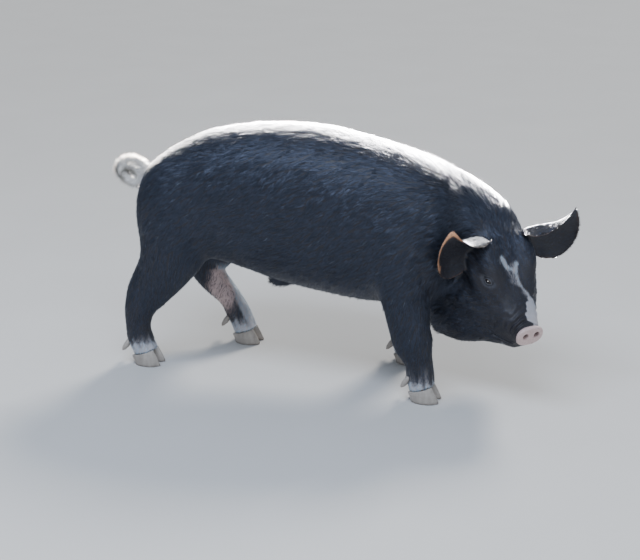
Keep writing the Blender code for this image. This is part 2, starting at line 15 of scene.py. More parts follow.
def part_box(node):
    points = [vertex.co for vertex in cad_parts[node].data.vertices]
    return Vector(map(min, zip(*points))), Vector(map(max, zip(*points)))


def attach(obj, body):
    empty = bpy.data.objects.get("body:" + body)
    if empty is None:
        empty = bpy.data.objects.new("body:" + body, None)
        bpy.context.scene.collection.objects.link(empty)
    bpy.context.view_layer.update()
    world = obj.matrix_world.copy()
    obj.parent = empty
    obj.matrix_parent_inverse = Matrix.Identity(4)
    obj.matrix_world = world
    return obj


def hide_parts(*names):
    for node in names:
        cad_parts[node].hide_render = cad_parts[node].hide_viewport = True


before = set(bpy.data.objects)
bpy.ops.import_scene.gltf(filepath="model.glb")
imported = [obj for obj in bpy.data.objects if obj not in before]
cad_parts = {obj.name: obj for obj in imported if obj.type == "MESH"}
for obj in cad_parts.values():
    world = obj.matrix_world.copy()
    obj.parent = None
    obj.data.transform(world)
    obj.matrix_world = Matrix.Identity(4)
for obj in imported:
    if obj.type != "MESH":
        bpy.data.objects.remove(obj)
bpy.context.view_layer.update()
bpy.ops.object.select_all(action="DESELECT")


# ---- The skin ----
# One hide runs from the snout over the ears, legs and tail. It is made from copies of the flesh
# solids: they are fused, the facets are smoothed away, the whole is drawn in by the depth of the
# coat that lies on it, and then the folds, nostrils, toes and lids are pressed into it.
FLESH = ["trunk", "neck", "head", "lower_jaw", "snout", "tail", "ear_left", "ear_right"]
LEGS = ["foreleg_right", "foreleg_left", "hindleg_right", "hindleg_left"]
for leg in LEGS:
    FLESH += [leg + "_upper", leg + "_lower"]
SKIN_CELL = 0.0019
OVERLAP = 0.0006  # closes the parting cuts
EAR_GROWTH = 0.0012  # gives the thin ears enough body to be fused
MIDLINE = 0.009  # how far the body's middle lies to the left
SNOUT_CENTRE = Vector((0.469084, -0.097372, 0.183))  # middle of the snout disc's face
HEAD_TO_RIGHT, HEAD_DOWN, HEAD_ROLL = 48, 20, 3  # degrees
HEAD_TURN = (
    Matrix.Rotation(math.radians(-HEAD_TO_RIGHT), 3, "Z")
    @ Matrix.Rotation(math.radians(HEAD_DOWN), 3, "Y")
    @ Matrix.Rotation(math.radians(HEAD_ROLL), 3, "X")
)
FORWARD, LEFT, UP = (HEAD_TURN @ Vector(axis) for axis in ((1, 0, 0), (0, 1, 0), (0, 0, 1)))


def in_head(back, left, up):
    """A place by its distance behind the snout's face, to the head's left and above its axis."""
    return SNOUT_CENTRE - FORWARD * back + LEFT * left + UP * up


def head_places(points):
    """The same three distances, for rows of world places."""
    offset = points - np.array(SNOUT_CENTRE)
    return np.stack(
        [-offset @ np.array(FORWARD), offset @ np.array(LEFT), offset @ np.array(UP)], 1
    )


def ramp(values, start, end):
    """0 at start, 1 at end, with a soft turn at both."""
    t = np.clip((values - start) / (end - start), 0, 1)
    return t * t * (3 - 2 * t)


def make_active(*things):
    """Selects these things alone, with the first as the active one."""
    bpy.ops.object.select_all(action="DESELECT")
    for thing in things:
        thing.select_set(True)
    bpy.context.view_layer.objects.active = things[0]


def apply_modifier(thing, kind, **settings):
    """Adds a modifier, applies it, and leaves only the mesh."""
    make_active(thing)
    modifier = thing.modifiers.new(kind.lower(), kind)
    for setting, value in settings.items():
        setattr(modifier, setting, value)
    bpy.ops.object.modifier_apply(modifier=modifier.name)


def copy_of(node, name):
    """A copy of a solid's mesh as a new object, with its doubled corners merged."""
    thing = bpy.data.objects.new(name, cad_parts[node].data.copy())
    bpy.context.scene.collection.objects.link(thing)
    thing.data.materials.clear()
    make_active(thing)
    bpy.ops.object.mode_set(mode="EDIT")
    bpy.ops.mesh.select_all(action="SELECT")
    bpy.ops.mesh.remove_doubles(threshold=0.00001)
    bpy.ops.object.mode_set(mode="OBJECT")
    return thing


def places_of(thing):
    """Where its vertices are, one row each."""
    places = np.empty(len(thing.data.vertices) * 3)
    thing.data.vertices.foreach_get("co", places)
    return places.reshape(-1, 3)


def normals_of(thing):
    """Which way its skin faces at each vertex."""
    normals = np.empty(len(thing.data.vertices) * 3)
    thing.data.vertex_normals.foreach_get("vector", normals)
    return normals.reshape(-1, 3)


def move_to(thing, places):
    thing.data.vertices.foreach_set("co", places.ravel())
    thing.data.update()


WEIGHT_STEPS = 20


def weigh(thing, name, weights):
    """A vertex group with one weight for each vertex, in even steps."""
    group = thing.vertex_groups.new(name=name)
    steps = np.round(weights * WEIGHT_STEPS).astype(int)
    for step in range(1, WEIGHT_STEPS + 1):
        found = np.flatnonzero(steps == step)
        if len(found):
            group.add(found.tolist(), step / WEIGHT_STEPS, "REPLACE")


flesh_copies = []
for node in FLESH:
    piece = copy_of(node, "flesh_" + node)
    growth = EAR_GROWTH if node.startswith("ear") else OVERLAP
    apply_modifier(piece, "DISPLACE", strength=growth, mid_level=0.0)
    flesh_copies.append(piece)

EYE_RADIUS = 0.0125
EYE_SINK = 0.0058  # deeper than the solid's eye, as the skin is
EYE_OUT, EYE_AHEAD, EYE_ABOVE = 0.86, 0.46, 0.16  # which way each eye looks
EYES = []  # each eye's side, centre and outward direction
for side_name, side in (("left", 1), ("right", -1)):
    low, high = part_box("eye_" + side_name)
    outward = (LEFT * side * EYE_OUT + FORWARD * EYE_AHEAD + UP * EYE_ABOVE).normalized()
    EYES.append((side_name, (low + high) / 2 - outward * EYE_SINK, outward))
    filler = copy_of("eye_" + side_name, "filler_" + side_name)
    apply_modifier(filler, "DISPLACE", strength=OVERLAP, mid_level=0.0)
    flesh_copies.append(filler)

make_active(*flesh_copies)
bpy.ops.object.join()
skin = bpy.context.view_layer.objects.active
skin.name = "skin"
skin.data.name = "skin"
apply_modifier(skin, "REMESH", mode="VOXEL", voxel_size=SKIN_CELL)
bpy.ops.object.shade_smooth()


def build_part_finder():
    """A search tree over the flesh solids' faces, and which solid each face belongs to."""
    corners, faces, owners = [], [], []
    for number, node in enumerate(FLESH):
        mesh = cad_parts[node].data
        mesh.calc_loop_triangles()
        start = len(corners)
        corners += [tuple(v.co) for v in mesh.vertices]
        faces += [tuple(start + k for k in t.vertices) for t in mesh.loop_triangles]
        owners += [number] * len(mesh.loop_triangles)
    return BVHTree.FromPolygons(corners, faces), owners


part_finder, face_owner = build_part_finder()


def part_numbers(places):
    """Which flesh solid lies nearest to each place, as its number in FLESH."""
    return np.array([face_owner[part_finder.find_nearest(Vector(p))[2]] for p in places])


def is_part(numbers, *words):
    """True where the nearest solid's name holds one of the words."""
    wanted = [i for i, name in enumerate(FLESH) if any(word in name for word in words)]
    return np.isin(numbers, wanted)


def spread(thing, values, passes):
    """Averages values over the mesh's edges, so that they change softly."""
    edges = np.empty(len(thing.data.edges) * 2, int)
    thing.data.edges.foreach_get("vertices", edges)
    first, second = edges.reshape(-1, 2).T
    count = np.bincount(first, minlength=len(values)) + np.bincount(second, minlength=len(values))
    for _ in range(passes):
        total = np.bincount(first, values[second], len(values))
        total += np.bincount(second, values[first], len(values))
        values = 0.5 * values + 0.5 * total / np.maximum(count, 1)
    return values


def distance(points, place):
    """How far each point is from a place."""
    return np.linalg.norm(points - np.array(place), axis=1)


# The facets are smoothed away: fully on the body, less on the head and feet, hardly on thin parts.
HEAD_SOFTNESS, FOOT_SOFTNESS, EAR_SOFTNESS = 0.35, 0.40, 0.07
FOOT_HEIGHT = 0.16
LID_PLACE, LID_REACH = 0.015, 0.014  # from the eyeball's middle, and round that place
SMOOTH_ALL, SMOOTH_SOFT = 5, 90  # rounds
places = places_of(skin)
number = part_numbers(places)
near_eye = np.zeros(len(places), bool)
for _, centre, outward in EYES:
    near_eye |= distance(places, centre + outward * LID_PLACE) < LID_REACH
thin = is_part(number, "ear", "tail", "snout")
softness = np.where(thin, 0.0, np.where(is_part(number, "head", "jaw"), HEAD_SOFTNESS, 1.0))
softness[is_part(number, "ear")] = EAR_SOFTNESS
softness[near_eye] = 1.0
softness[~thin & (places[:, 2] < FOOT_HEIGHT)] = FOOT_SOFTNESS
softness = spread(skin, softness, 12)
weigh(skin, "soft", softness)
apply_modifier(skin, "SMOOTH", factor=0.5, iterations=SMOOTH_ALL)
apply_modifier(skin, "SMOOTH", factor=0.5, iterations=SMOOTH_SOFT, vertex_group="soft")
skin.vertex_groups.clear()


def select_faces(thing, vertex_chosen):
    """Selects the faces that have their first corner among the chosen vertices."""
    corner = np.empty(len(thing.data.loops), int)
    thing.data.loops.foreach_get("vertex_index", corner)
    start = np.empty(len(thing.data.polygons), int)
    thing.data.polygons.foreach_get("loop_start", start)
    make_active(thing)
    bpy.ops.object.mode_set(mode="EDIT")
    bpy.ops.mesh.select_mode(type="FACE")
    bpy.ops.mesh.select_all(action="DESELECT")
    bpy.ops.object.mode_set(mode="OBJECT")
    thing.data.polygons.foreach_set("select", vertex_chosen[corner[start]])
    bpy.ops.object.mode_set(mode="EDIT")


# The smooth body needs only large faces. The muzzle and the eyes get the finest ones: edges are
# halved once over the muzzle, and twice at the eyes and on the very front of the disc.
BODY_SHARE, HEAD_SHARE = 0.040, 0.22  # of the faces, that stay
KEPT_MUZZLE, KEPT_EYE = 0.066, 0.024  # how far round the snout and the eyes all faces stay
HALVED_MUZZLE, HALVED_EYE = 0.068, 0.0175
select_faces(skin, ~is_part(number, "head", "jaw", "ear", "snout", "tail"))
bpy.ops.mesh.decimate(ratio=BODY_SHARE)
bpy.ops.object.mode_set(mode="OBJECT")
places = places_of(skin)
number = part_numbers(places)
back = head_places(places)[:, 0]
fine = is_part(number, "snout") | (is_part(number, "head", "jaw") & (back < KEPT_MUZZLE))
for _, centre, _ in EYES:
    fine |= distance(places, centre) < KEPT_EYE
select_faces(skin, ~fine & is_part(number, "head", "jaw", "ear", "tail"))
bpy.ops.mesh.decimate(ratio=HEAD_SHARE)
bpy.ops.object.mode_set(mode="OBJECT")
for reach in (HALVED_MUZZLE, 0.0):
    places = places_of(skin)
    fine = is_part(part_numbers(places), "snout", "head", "jaw") & (head_places(places)[:, 0] < reach)
    for _, centre, _ in EYES:
        fine |= distance(places, centre) < HALVED_EYE
    select_faces(skin, fine)
    bpy.ops.mesh.subdivide(number_cuts=1)
    bpy.ops.object.mode_set(mode="OBJECT")
bpy.ops.object.shade_smooth()

# The skin is drawn in by the coat's depth, and by the growth that closed the cuts.
COAT_DEPTH = {"trunk": 0.0028, "neck": 0.0028, "upper": 0.0022, "lower": 0.0014}
COAT_DEPTH.update({"head": 0.0014, "jaw": 0.0014, "ear": 0.0009, "tail": 0.0012, "snout": 0.0})
places = places_of(skin)
number = part_numbers(places)
depth = np.full(len(places), OVERLAP)
for word, value in COAT_DEPTH.items():
    depth[is_part(number, word)] += value
depth = spread(skin, depth, 10)
places = places - normals_of(skin) * depth[:, None]
move_to(skin, places)


def to_line(points, line):
    """Distance from each point to the nearest place on a line of points."""
    best = np.full(len(points), 1.0)
    for start, end in zip(line[:-1], line[1:]):
        start, end = np.array(start, float), np.array(end, float)
        run = end - start
        share = np.clip((points - start) @ run / (run @ run), 0, 1)
        best = np.minimum(best, np.linalg.norm(points - start - share[:, None] * run, axis=1))
    return best


def crease(points, line, width, deep):
    """How far a fold pushes the skin: a groove along the line, with a low ridge on each side."""
    gap = to_line(points, line)
    groove = np.exp(-((gap / width) ** 2))
    ridge = np.exp(-(((gap - 2.1 * width) / width) ** 2))
    return deep * (0.42 * ridge - groove)


def softened(thing, rows, passes):
    """Rows of three values, each spread over the mesh."""
    return np.stack([spread(thing, rows[:, k].copy(), passes) for k in range(3)], 1)


# The hollow between the right cheek and foreleg and the ridge across the croup are eased first.
TAIL_ROOT = (-0.446, 0.009, 0.442)  # stays as it is
EASED = [((0.262, -0.055, 0.212), 0.105), ((-0.425, 0.009, 0.500), 0.150)]  # place and reach
for centre, reach in EASED:
    close = ramp(distance(places, centre), reach, 0.45 * reach)
    close *= ramp(distance(places, TAIL_ROOT), 0.025, 0.060) * ~is_part(number, "tail", "lower")
    soft = softened(skin, places, 40)
    places = places * (1 - close[:, None]) + soft * close[:, None]

# Folds of the face: places by their distance back, out and up on the head, then width and depth.
MOUTH = [(0.008, 0.020, -0.0285), (0.030, 0.031, -0.0305), (0.060, 0.045, -0.034)]
MOUTH += [(0.088, 0.060, -0.034), (0.106, 0.071, -0.027)]
FACE_FOLDS = [
    (MOUTH, 0.0017, 0.0034),
    ([(0.086, 0.050, 0.052), (0.107, 0.069, 0.037), (0.133, 0.083, 0.022)], 0.0036, 0.0022),
    ([(0.078, 0.044, 0.040), (0.096, 0.062, 0.024), (0.115, 0.078, 0.010)], 0.0044, 0.0018),
    ([(0.102, 0.040, 0.104), (0.120, 0.052, 0.112), (0.142, 0.062, 0.110)], 0.0032, 0.0018),
    ([(0.134, 0.066, 0.080), (0.156, 0.076, 0.078)], 0.0028, 0.0012),
    ([(0.133, 0.068, 0.074), (0.152, 0.079, 0.064)], 0.0028, 0.0012),
    ([(0.052, 0.036, 0.026), (0.064, 0.046, 0.008), (0.070, 0.053, -0.012)], 0.0042, 0.0018),
    ([(0.160, 0.080, 0.060), (0.165, 0.096, 0.020), (0.160, 0.104, -0.030)], 0.0070, 0.0016),
    ([(0.180, 0.084, 0.060), (0.186, 0.100, 0.015), (0.181, 0.110, -0.040)], 0.0085, 0.0018),
    ([(0.200, 0.088, 0.060), (0.206, 0.102, 0.015), (0.202, 0.112, -0.040)], 0.0090, 0.0012),
]
NECK_FOLDS_FROM = 0.15
LEFT_NECK_FOLDS = 0.6  # they are weaker there, as the head turns away
in_face = head_places(places)
push = np.zeros(len(places))
for line, width, deep in FACE_FOLDS:
    for side in (-1, 1):
        turned = [(back, out * side, up) for back, out, up in line]
        weaker = LEFT_NECK_FOLDS if side > 0 and line[0][0] > NECK_FOLDS_FROM else 1.0
        push += crease(in_face, turned, width, deep * weaker)
back, out, up = in_face.T

# Three uneven wrinkles cross the top of the muzzle. They are faint where the blaze is broad.
MUZZLE_WRINKLES = [  # distance back, width, depth
    (0.0240, 0.0026, 0.0023),
    (0.0350, 0.0030, 0.0022),
    (0.0490, 0.0034, 0.0012),
]
on_muzzle = is_part(number, "head", "jaw", "snout") & (back < 0.09)
wobble = 0.0024 * np.sin(70 * out + 85 * up) + 0.0010 * np.sin(210 * out + 1.0)
above_mouth = ramp(up, -0.014, 0.008)
for place, width, deep in MUZZLE_WRINKLES:
    away = np.abs(back + wobble * (place / 0.035) - place + 0.25 * np.abs(out) - 0.004)
    fold = 0.5 * np.exp(-(((away - 2 * width) / width) ** 2)) - np.exp(-((away / width) ** 2))
    strength = 0.12 + 0.88 * ramp(np.abs(out - 0.022), 0.012, 0.026)
    push += on_muzzle * above_mouth * fold * deep * strength

# The disc is set off by a groove that is deepest at its sides.
DISC_GROOVE, GROOVE_WIDTH, GROOVE_DEPTH = 0.0142, 0.0022, 0.0026
cleft = np.exp(-(((back - DISC_GROOVE) / GROOVE_WIDTH) ** 2)) * on_muzzle
push -= GROOVE_DEPTH * cleft * (0.35 + 0.65 * ramp(np.abs(out), 0.004, 0.020))

# Each nostril has a raised rim round a deep oval hole.
NOSTRIL_OUT, NOSTRIL_UP = 0.0135, 0.005
NOSTRIL_RADIUS, NOSTRIL_FLOOR, NOSTRIL_DEPTH = 0.0082, 0.0054, 0.0085
NOSTRIL_RIM, RIM_WIDTH, RIM_HEIGHT = 0.0098, 0.0022, 0.0012
hollow = np.zeros(len(places))
for side in (-1, 1):
    around = np.hypot((out - side * NOSTRIL_OUT) / 0.85, up - NOSTRIL_UP)
    push += (back < 0.006) * RIM_HEIGHT * np.exp(-(((around - NOSTRIL_RIM) / RIM_WIDTH) ** 2))
    hollow = np.maximum(hollow, (back < 0.008) * ramp(around, NOSTRIL_RADIUS, NOSTRIL_FLOOR))

# Each ear's upper edge is rolled forward and down, most near the root.
EAR_EDGE = [(0.160, 0.038, 0.158), (0.152, 0.058, 0.170), (0.146, 0.082, 0.176)]
EAR_EDGE += [(0.142, 0.106, 0.182), (0.140, 0.126, 0.192), (0.145, 0.148, 0.212)]
ROLL_OUT = [0.040, 0.062, 0.085, 0.112, 0.142]  # from the head's middle
ROLL_FALL = [0.006, 0.020, 0.020, 0.011, 0.0]  # how far the edge comes down there
rolled = np.zeros((len(places), 3))
for side, name in ((1, "ear_left"), (-1, "ear_right")):
    edge = [(edge_back, side * edge_out, edge_up) for edge_back, edge_out, edge_up in EAR_EDGE]
    roll = ramp(to_line(in_face, edge), 0.026, 0.003) * is_part(number, name)
    fall = np.interp(side * out, ROLL_OUT, ROLL_FALL)
    rolled += np.outer(spread(skin, roll * fall, 6), np.array(FORWARD * 0.30 - UP))

# The toes part at the front and back of each foot, between its two main claws.
TOE_PARTING_WIDTH, TOE_PARTING_DEPTH = 0.0050, 0.0055
PARTING_HEIGHTS = (0.062, 0.030)  # above the ground: where it begins, and is full
normals = normals_of(skin)
for leg in LEGS:
    claws = [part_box(leg + "_claw_" + which) for which in ("inner", "outer")]
    middle = (min(low.y for low, high in claws) + max(high.y for low, high in claws)) / 2
    parting = np.exp(-(((places[:, 1] - middle) / TOE_PARTING_WIDTH) ** 2))
    parting *= ramp(places[:, 2], *PARTING_HEIGHTS)
    ahead = ramp(np.abs(normals[:, 0]), 0.3, 0.7)
    push -= TOE_PARTING_DEPTH * parting * is_part(number, leg + "_lower") * ahead
places = places + normals * push[:, None] + rolled
ease = spread(skin, ramp(np.linalg.norm(rolled, axis=1), 0.001, 0.004), 2)[:, None]
places = places * (1 - ease) + softened(skin, places, 4) * ease
places -= np.outer(hollow * NOSTRIL_DEPTH, np.array(FORWARD))
move_to(skin, places)

# The skin opens in an almond over each eyeball, and a lid with a crease behind it runs round.
LID_HALF_LENGTH = 0.0116
LID_RISE, LID_DROP = 0.0056, 0.0044
LID_SLANT = 0.20
LID_GAPS = [-0.010, -0.0006, 0.0002, 0.0012, 0.0030, 0.0048, 0.0062]  # out from the opening's edge
LID_HEIGHTS = [-0.0015, -0.0013, 0.0006, 0.0017, 0.0018, 0.0006, -0.0004]  # over the eyeball there
lid_highlights = np.zeros(len(places))  # painted highlights run here, along the lids' ridges
for _, centre, outward in EYES:
    front = (FORWARD - outward * FORWARD.dot(outward)).normalized()
    rise = outward.cross(front)
    if rise.dot(UP) < 0:
        rise.negate()
    front = (front * math.cos(LID_SLANT) - rise * math.sin(LID_SLANT)).normalized()
    rise = (rise - front * rise.dot(front)).normalized()
    offset = places - np.array(centre)
    radius = np.linalg.norm(offset, axis=1)
    near = (radius < 0.030) & (offset @ np.array(outward) > 0.002)
    along = offset @ np.array(front)
    height = offset @ np.array(rise)
    arch = np.where(height > 0, LID_RISE, LID_DROP)
    width = np.clip(1 - (along / LID_HALF_LENGTH) ** 2, 0, 1)
    gap = np.abs(height) - arch * width
    beyond = np.maximum(np.abs(along) - LID_HALF_LENGTH, 0)
    gap = np.where(beyond > 0, np.hypot(beyond, height), gap)
    hold = ramp(gap, 0.0105, 0.0045) * near
    lid = radius * (1 - hold) + (EYE_RADIUS + np.interp(gap, LID_GAPS, LID_HEIGHTS)) * hold
    ridge = np.exp(-(((gap - 0.0020) / 0.0014) ** 2))
    outer_ridge = np.exp(-(((gap - 0.0080) / 0.0016) ** 2))
    lid_highlights = np.maximum(lid_highlights, (ridge + 0.6 * outer_ridge) * near)
    places = np.where(near[:, None], np.array(centre) + offset * (lid / radius)[:, None], places)
move_to(skin, places)


class Value:
    """A shader socket's value, on which Python's operators add Math nodes."""

    def __init__(self, finish, socket):
        self.finish = finish
        self.socket = socket

    def math(self, operation, *operands):
        node = self.finish.tree.nodes.new("ShaderNodeMath")
        node.operation = operation
        for i, operand in enumerate(operands):
            self.finish.feed(node.inputs[i], operand)
        return Value(self.finish, node.outputs[0])

    def __add__(self, other):
        return self.math("ADD", self, other)

    def __radd__(self, other):
        return self.math("ADD", other, self)

    def __sub__(self, other):
        return self.math("SUBTRACT", self, other)

    def __rsub__(self, other):
        return self.math("SUBTRACT", other, self)

    def __mul__(self, other):
        return self.math("MULTIPLY", self, other)

    def __rmul__(self, other):
        return self.math("MULTIPLY", other, self)


class Finish:
    """A material with one Principled shader, and a method that adds any other node."""

    def __init__(self, name, **constants):
        self.material = bpy.data.materials.new(name)
        self.material.use_nodes = True
        self.tree = self.material.node_tree
        self.shader = self.tree.nodes["Principled BSDF"]
        for socket, value in constants.items():
            self.shader.inputs[socket.replace("_", " ")].default_value = value

    def feed(self, socket, value):
        """Links a value to a socket, or sets a constant on it."""
        if isinstance(value, Value):
            self.tree.links.new(value.socket, socket)
        else:
            socket.default_value = value

    def node(self, kind, settings=None, output=0, **inputs):
        """Any other node. A socket goes by its name, or by the letter i and its number."""
        node = self.tree.nodes.new(kind)
        for setting, value in (settings or {}).items():
            setattr(node, setting, value)
        for socket, value in inputs.items():
            name = socket.replace("_", " ")
            found = int(name[1:]) if name[0] == "i" and name[1:].isdigit() else name
            self.feed(node.inputs[found], value)
        return Value(self, node.outputs[output])

    def here(self):
        """Object coordinates."""
        return self.node("ShaderNodeTexCoord", output=3)

    def attribute(self, name):
        return self.node("ShaderNodeAttribute", {"attribute_name": name}, output=2)

    def noise(self, scale, detail=4.0, roughness=0.55, vector=None):
        return self.node(
            "ShaderNodeTexNoise",
            Vector=vector or self.here(),
            Scale=scale,
            Detail=detail,
            Roughness=roughness,
        )

    def stretched(self, x, y, z):
        """Object coordinates scaled along each axis."""
        return self.node(
            "ShaderNodeVectorMath", {"operation": "MULTIPLY"}, i0=self.here(), i1=(x, y, z)
        )

    def smoothly(self, value, low, high, to_low=0.0, to_high=1.0):
        """Carries low to high over to the new range, with a soft turn at both."""
        return self.node(
            "ShaderNodeMapRange",
            {"interpolation_type": "SMOOTHSTEP"},
            Value=value,
            From_Min=low,
            From_Max=high,
            To_Min=to_low,
            To_Max=to_high,
        )

    def mix(self, share, first, second):
        """Mixes two colours, each a socket or three numbers."""
        first = (*first, 1) if isinstance(first, tuple) and len(first) == 3 else first
        second = (*second, 1) if isinstance(second, tuple) and len(second) == 3 else second
        return self.node(
            "ShaderNodeMix", {"data_type": "RGBA"}, output=2, i0=share, i6=first, i7=second
        )

    def bump(self, height, strength, deep):
        return self.node("ShaderNodeBump", Height=height, Strength=strength, Distance=deep)

    def set(self, **inputs):
        """Feeds the shader's own sockets."""
        for socket, value in inputs.items():
            self.feed(self.shader.inputs[socket.replace("_", " ")], value)


# The markings are shares from 0 to 1 at rows of places, and the skin and the coat both take them: a
# forked blaze, a pale chin, white feet and tail. Two painted highlights ride on the same share: a
# white patch on the right ear's upper edge and a pale stripe down the front of the left shin, both
# where sunlit black hair shines.
BLAZE = [  # distance back, to the left, half width
    (0.1330, -0.0185, 0.0070),
    (0.1230, -0.0105, 0.0042),
    (0.1160, 0.0014, 0.0014),
    (0.1130, 0.0080, 0.0026),
    (0.1056, 0.0085, 0.0024),
    (0.0948, 0.0105, 0.0018),
    (0.0828, 0.0200, 0.0020),
    (0.0730, 0.0255, 0.0036),
    (0.0640, 0.0285, 0.0080),
    (0.0510, 0.0270, 0.0155),
    (0.0321, 0.0210, 0.0185),
    (0.0241, 0.0250, 0.0150),
    (0.0100, 0.0250, 0.0130),
]
BLAZE_PRONG = [(0.1235, 0.0110, 0.0052), (0.1140, 0.0090, 0.0036)]
BLAZE_SHARE = 0.74  # dimmed, partly for the thin hairs over dark skin and partly as painted shade
BLAZE_EDGE = 0.0012  # half the width over which it fades
CHIN_SHARE, LIT_SHIN_SHARE = 0.45, 0.75
FORE_SOCK, HIND_SOCK = (0.050, 0.040), (0.062, 0.050)  # above the ground: where white begins, is full
BARE_THIGH, BARE_THIGH_REACH = (-0.318, 0.078, 0.140), (0.040, 0.030, 0.062)
BARE_DISC = (0.0125, 0.0105)  # behind the snout's face: where pink begins, and is full
EAR_HIGHLIGHT_LINE = [(0.172, -0.045, 0.158), (0.166, -0.065, 0.164), (0.158, -0.085, 0.166)]
EAR_HIGHLIGHT_LINE += [(0.150, -0.100, 0.170)]
GLOW_EAR_LINE = [(0.147, -0.168, 0.105), (0.146, -0.173, 0.122), (0.146, -0.172, 0.162)]
GLOW_EAR_LINE += [(0.147, -0.161, 0.194), (0.145, -0.148, 0.212), (0.140, -0.126, 0.192)]
GLOW_EAR_LINE += [(0.142, -0.110, 0.182)]


def along_band(points, band):
    """How far outside a band of varying half width each point lies. Below 0 is inside."""
    best = np.full(len(points), 1.0)
    for first, second in zip(band[:-1], band[1:]):
        start, end = np.array(first[:2]), np.array(second[:2])
        run = end - start
        share = np.clip((points - start) @ run / (run @ run), 0, 1)
        gap = np.linalg.norm(points - start - share[:, None] * run, axis=1)
        best = np.minimum(best, gap - (first[2] + (second[2] - first[2]) * share))
    return best


def white_and_highlight_share(points, numbers):
    """Where the coat is white: the blaze, chin, feet and tail, and two painted highlights on the right
    ear's top and the left shin.
    """
    face = head_places(points)
    ragged = 0.0011 * np.sin(points @ np.array((310, 190, 120)))
    ragged += 0.0009 * np.sin(points @ np.array((-170, 420, 260)) + 1.3)
    on_top = is_part(numbers, "head", "snout") * ramp(face[:, 2], 0.004, 0.014)
    white_and_highlight = np.zeros(len(points))
    for band in (BLAZE, BLAZE_PRONG):
        inside = ragged - along_band(face[:, :2], band)
        white_and_highlight = np.maximum(white_and_highlight, on_top * ramp(inside, -BLAZE_EDGE, BLAZE_EDGE))
    white_and_highlight *= BLAZE_SHARE
    chin = is_part(numbers, "jaw") * ramp(face[:, 2] + 6 * ragged, -0.050, -0.060)
    white_and_highlight = np.maximum(white_and_highlight, CHIN_SHARE * chin * ramp(face[:, 0] + 4 * ragged, 0.050, 0.036))
    # The right ear's upper edge is painted white: a painted highlight where sunlit black hair shines.
    ear_highlight = is_part(numbers, "ear_right") * ramp(to_line(face, EAR_HIGHLIGHT_LINE), 0.017, 0.012)
    white_and_highlight = np.maximum(white_and_highlight, ear_highlight)
    low = is_part(numbers, "lower")
    edge = points[:, 2] + 5 * ragged
    fore = low * (points[:, 0] > 0) * ramp(edge, *FORE_SOCK)
    hind = low * (points[:, 0] < 0) * ramp(edge, *HIND_SOCK)
    white_and_highlight = np.maximum(white_and_highlight, np.maximum(fore, hind))
    # A pale stripe down the front of the left shin: a painted highlight of sunlit black hair.
    lit_shin = is_part(numbers, "hindleg_left") * ramp(points[:, 2], 0.215, 0.185)
    lit_shin *= ramp(points[:, 0] + 0.55 * points[:, 2] + 2 * ragged, -0.2275, -0.2215)
    white_and_highlight = np.maximum(white_and_highlight, LIT_SHIN_SHARE * lit_shin)
    return np.maximum(white_and_highlight, is_part(numbers, "tail"))


def bare_share(points, numbers):
    """Where the skin is bare and pink: the disc of the snout and the inside of the left thigh."""
    face = head_places(points)
    bare = is_part(numbers, "snout") * ramp(face[:, 0], *BARE_DISC)
    thigh = np.linalg.norm((points - np.array(BARE_THIGH)) / BARE_THIGH_REACH, axis=1)
    return np.maximum(bare, is_part(numbers, "hindleg_left") * ramp(thigh, 1.15, 0.75) * 0.9)


def set_attribute(thing, name, values):
    """Gives each vertex a value that the finish reads."""
    attribute = thing.data.attributes.new(name, "FLOAT", "POINT")
    attribute.data.foreach_set("value", np.asarray(values, np.float32))


places = places_of(skin)
number = part_numbers(places)
set_attribute(skin, "white_and_highlight", spread(skin, white_and_highlight_share(places, number), 1))
set_attribute(skin, "bare", spread(skin, bare_share(places, number), 2))
# The ears' margins get a warm orange: faintly all round, as thin skin's own tint mixed with a painted
# glow of light shining through, and strongly along the right ear's outer edge on the side toward the
# camera, where it is painted glow alone. How near a place is to a margin comes from how sharply the
# skin bends there.
MARGIN_SHARE = 0.12
TOWARD_CAMERA = np.array((0.29, -0.89, 0.34))  # the way toward the camera; the glow is painted only on the side that faces it
normal = normals_of(skin)
flatness = np.linalg.norm(softened(skin, normal, 6), axis=1)
rim = MARGIN_SHARE * is_part(number, "ear") * ramp(flatness, 0.90, 0.55)
lit_edge = ramp(to_line(head_places(places), GLOW_EAR_LINE), 0.0125, 0.0090)
lit_edge *= ramp(normal @ TOWARD_CAMERA, -0.25, 0.15)
rim = spread(skin, np.maximum(rim, lit_edge * is_part(number, "ear_right")), 2)
set_attribute(skin, "rim", rim)
set_attribute(skin, "hollow", spread(skin, hollow, 1))
set_attribute(skin, "lid_highlights", lid_highlights)

# Black hide with pale points, a pink disc and thigh, and a fine grain of pores.
hide = Finish("hide", IOR=1.42)
white_and_highlight_skin = hide.attribute("white_and_highlight")
bare_skin = hide.attribute("bare")
mottle = hide.noise(38.0, 5.0)
fine_mottle = hide.noise(240.0, 3.0)
pores = hide.noise(900.0, 2.0)
black_skin = hide.mix(mottle, (0.010, 0.010, 0.014), (0.030, 0.028, 0.034))
pale_skin = hide.mix(mottle, (0.44, 0.41, 0.43), (0.58, 0.56, 0.58))
pink = hide.mix(fine_mottle, (0.48, 0.33, 0.31), (0.68, 0.54, 0.52))
spots = hide.smoothly(hide.noise(130.0, 5.0, 0.7), 0.60, 0.70)
pink = hide.mix(spots * 0.75, pink, (0.055, 0.040, 0.045))
colour = hide.mix(white_and_highlight_skin, black_skin, pale_skin)
# Painted highlight: pale bluish lines on the lids' ridges, where the moist skin shines.
colour = hide.mix(hide.attribute("lid_highlights") * 0.55, colour, (0.13, 0.14, 0.17))
colour = hide.mix(bare_skin, colour, pink)
# Painted glow: warm orange on the ears' margins, for light shining through the thin ears.
colour = hide.mix(hide.attribute("rim") * 0.9, colour, (0.95, 0.48, 0.26))
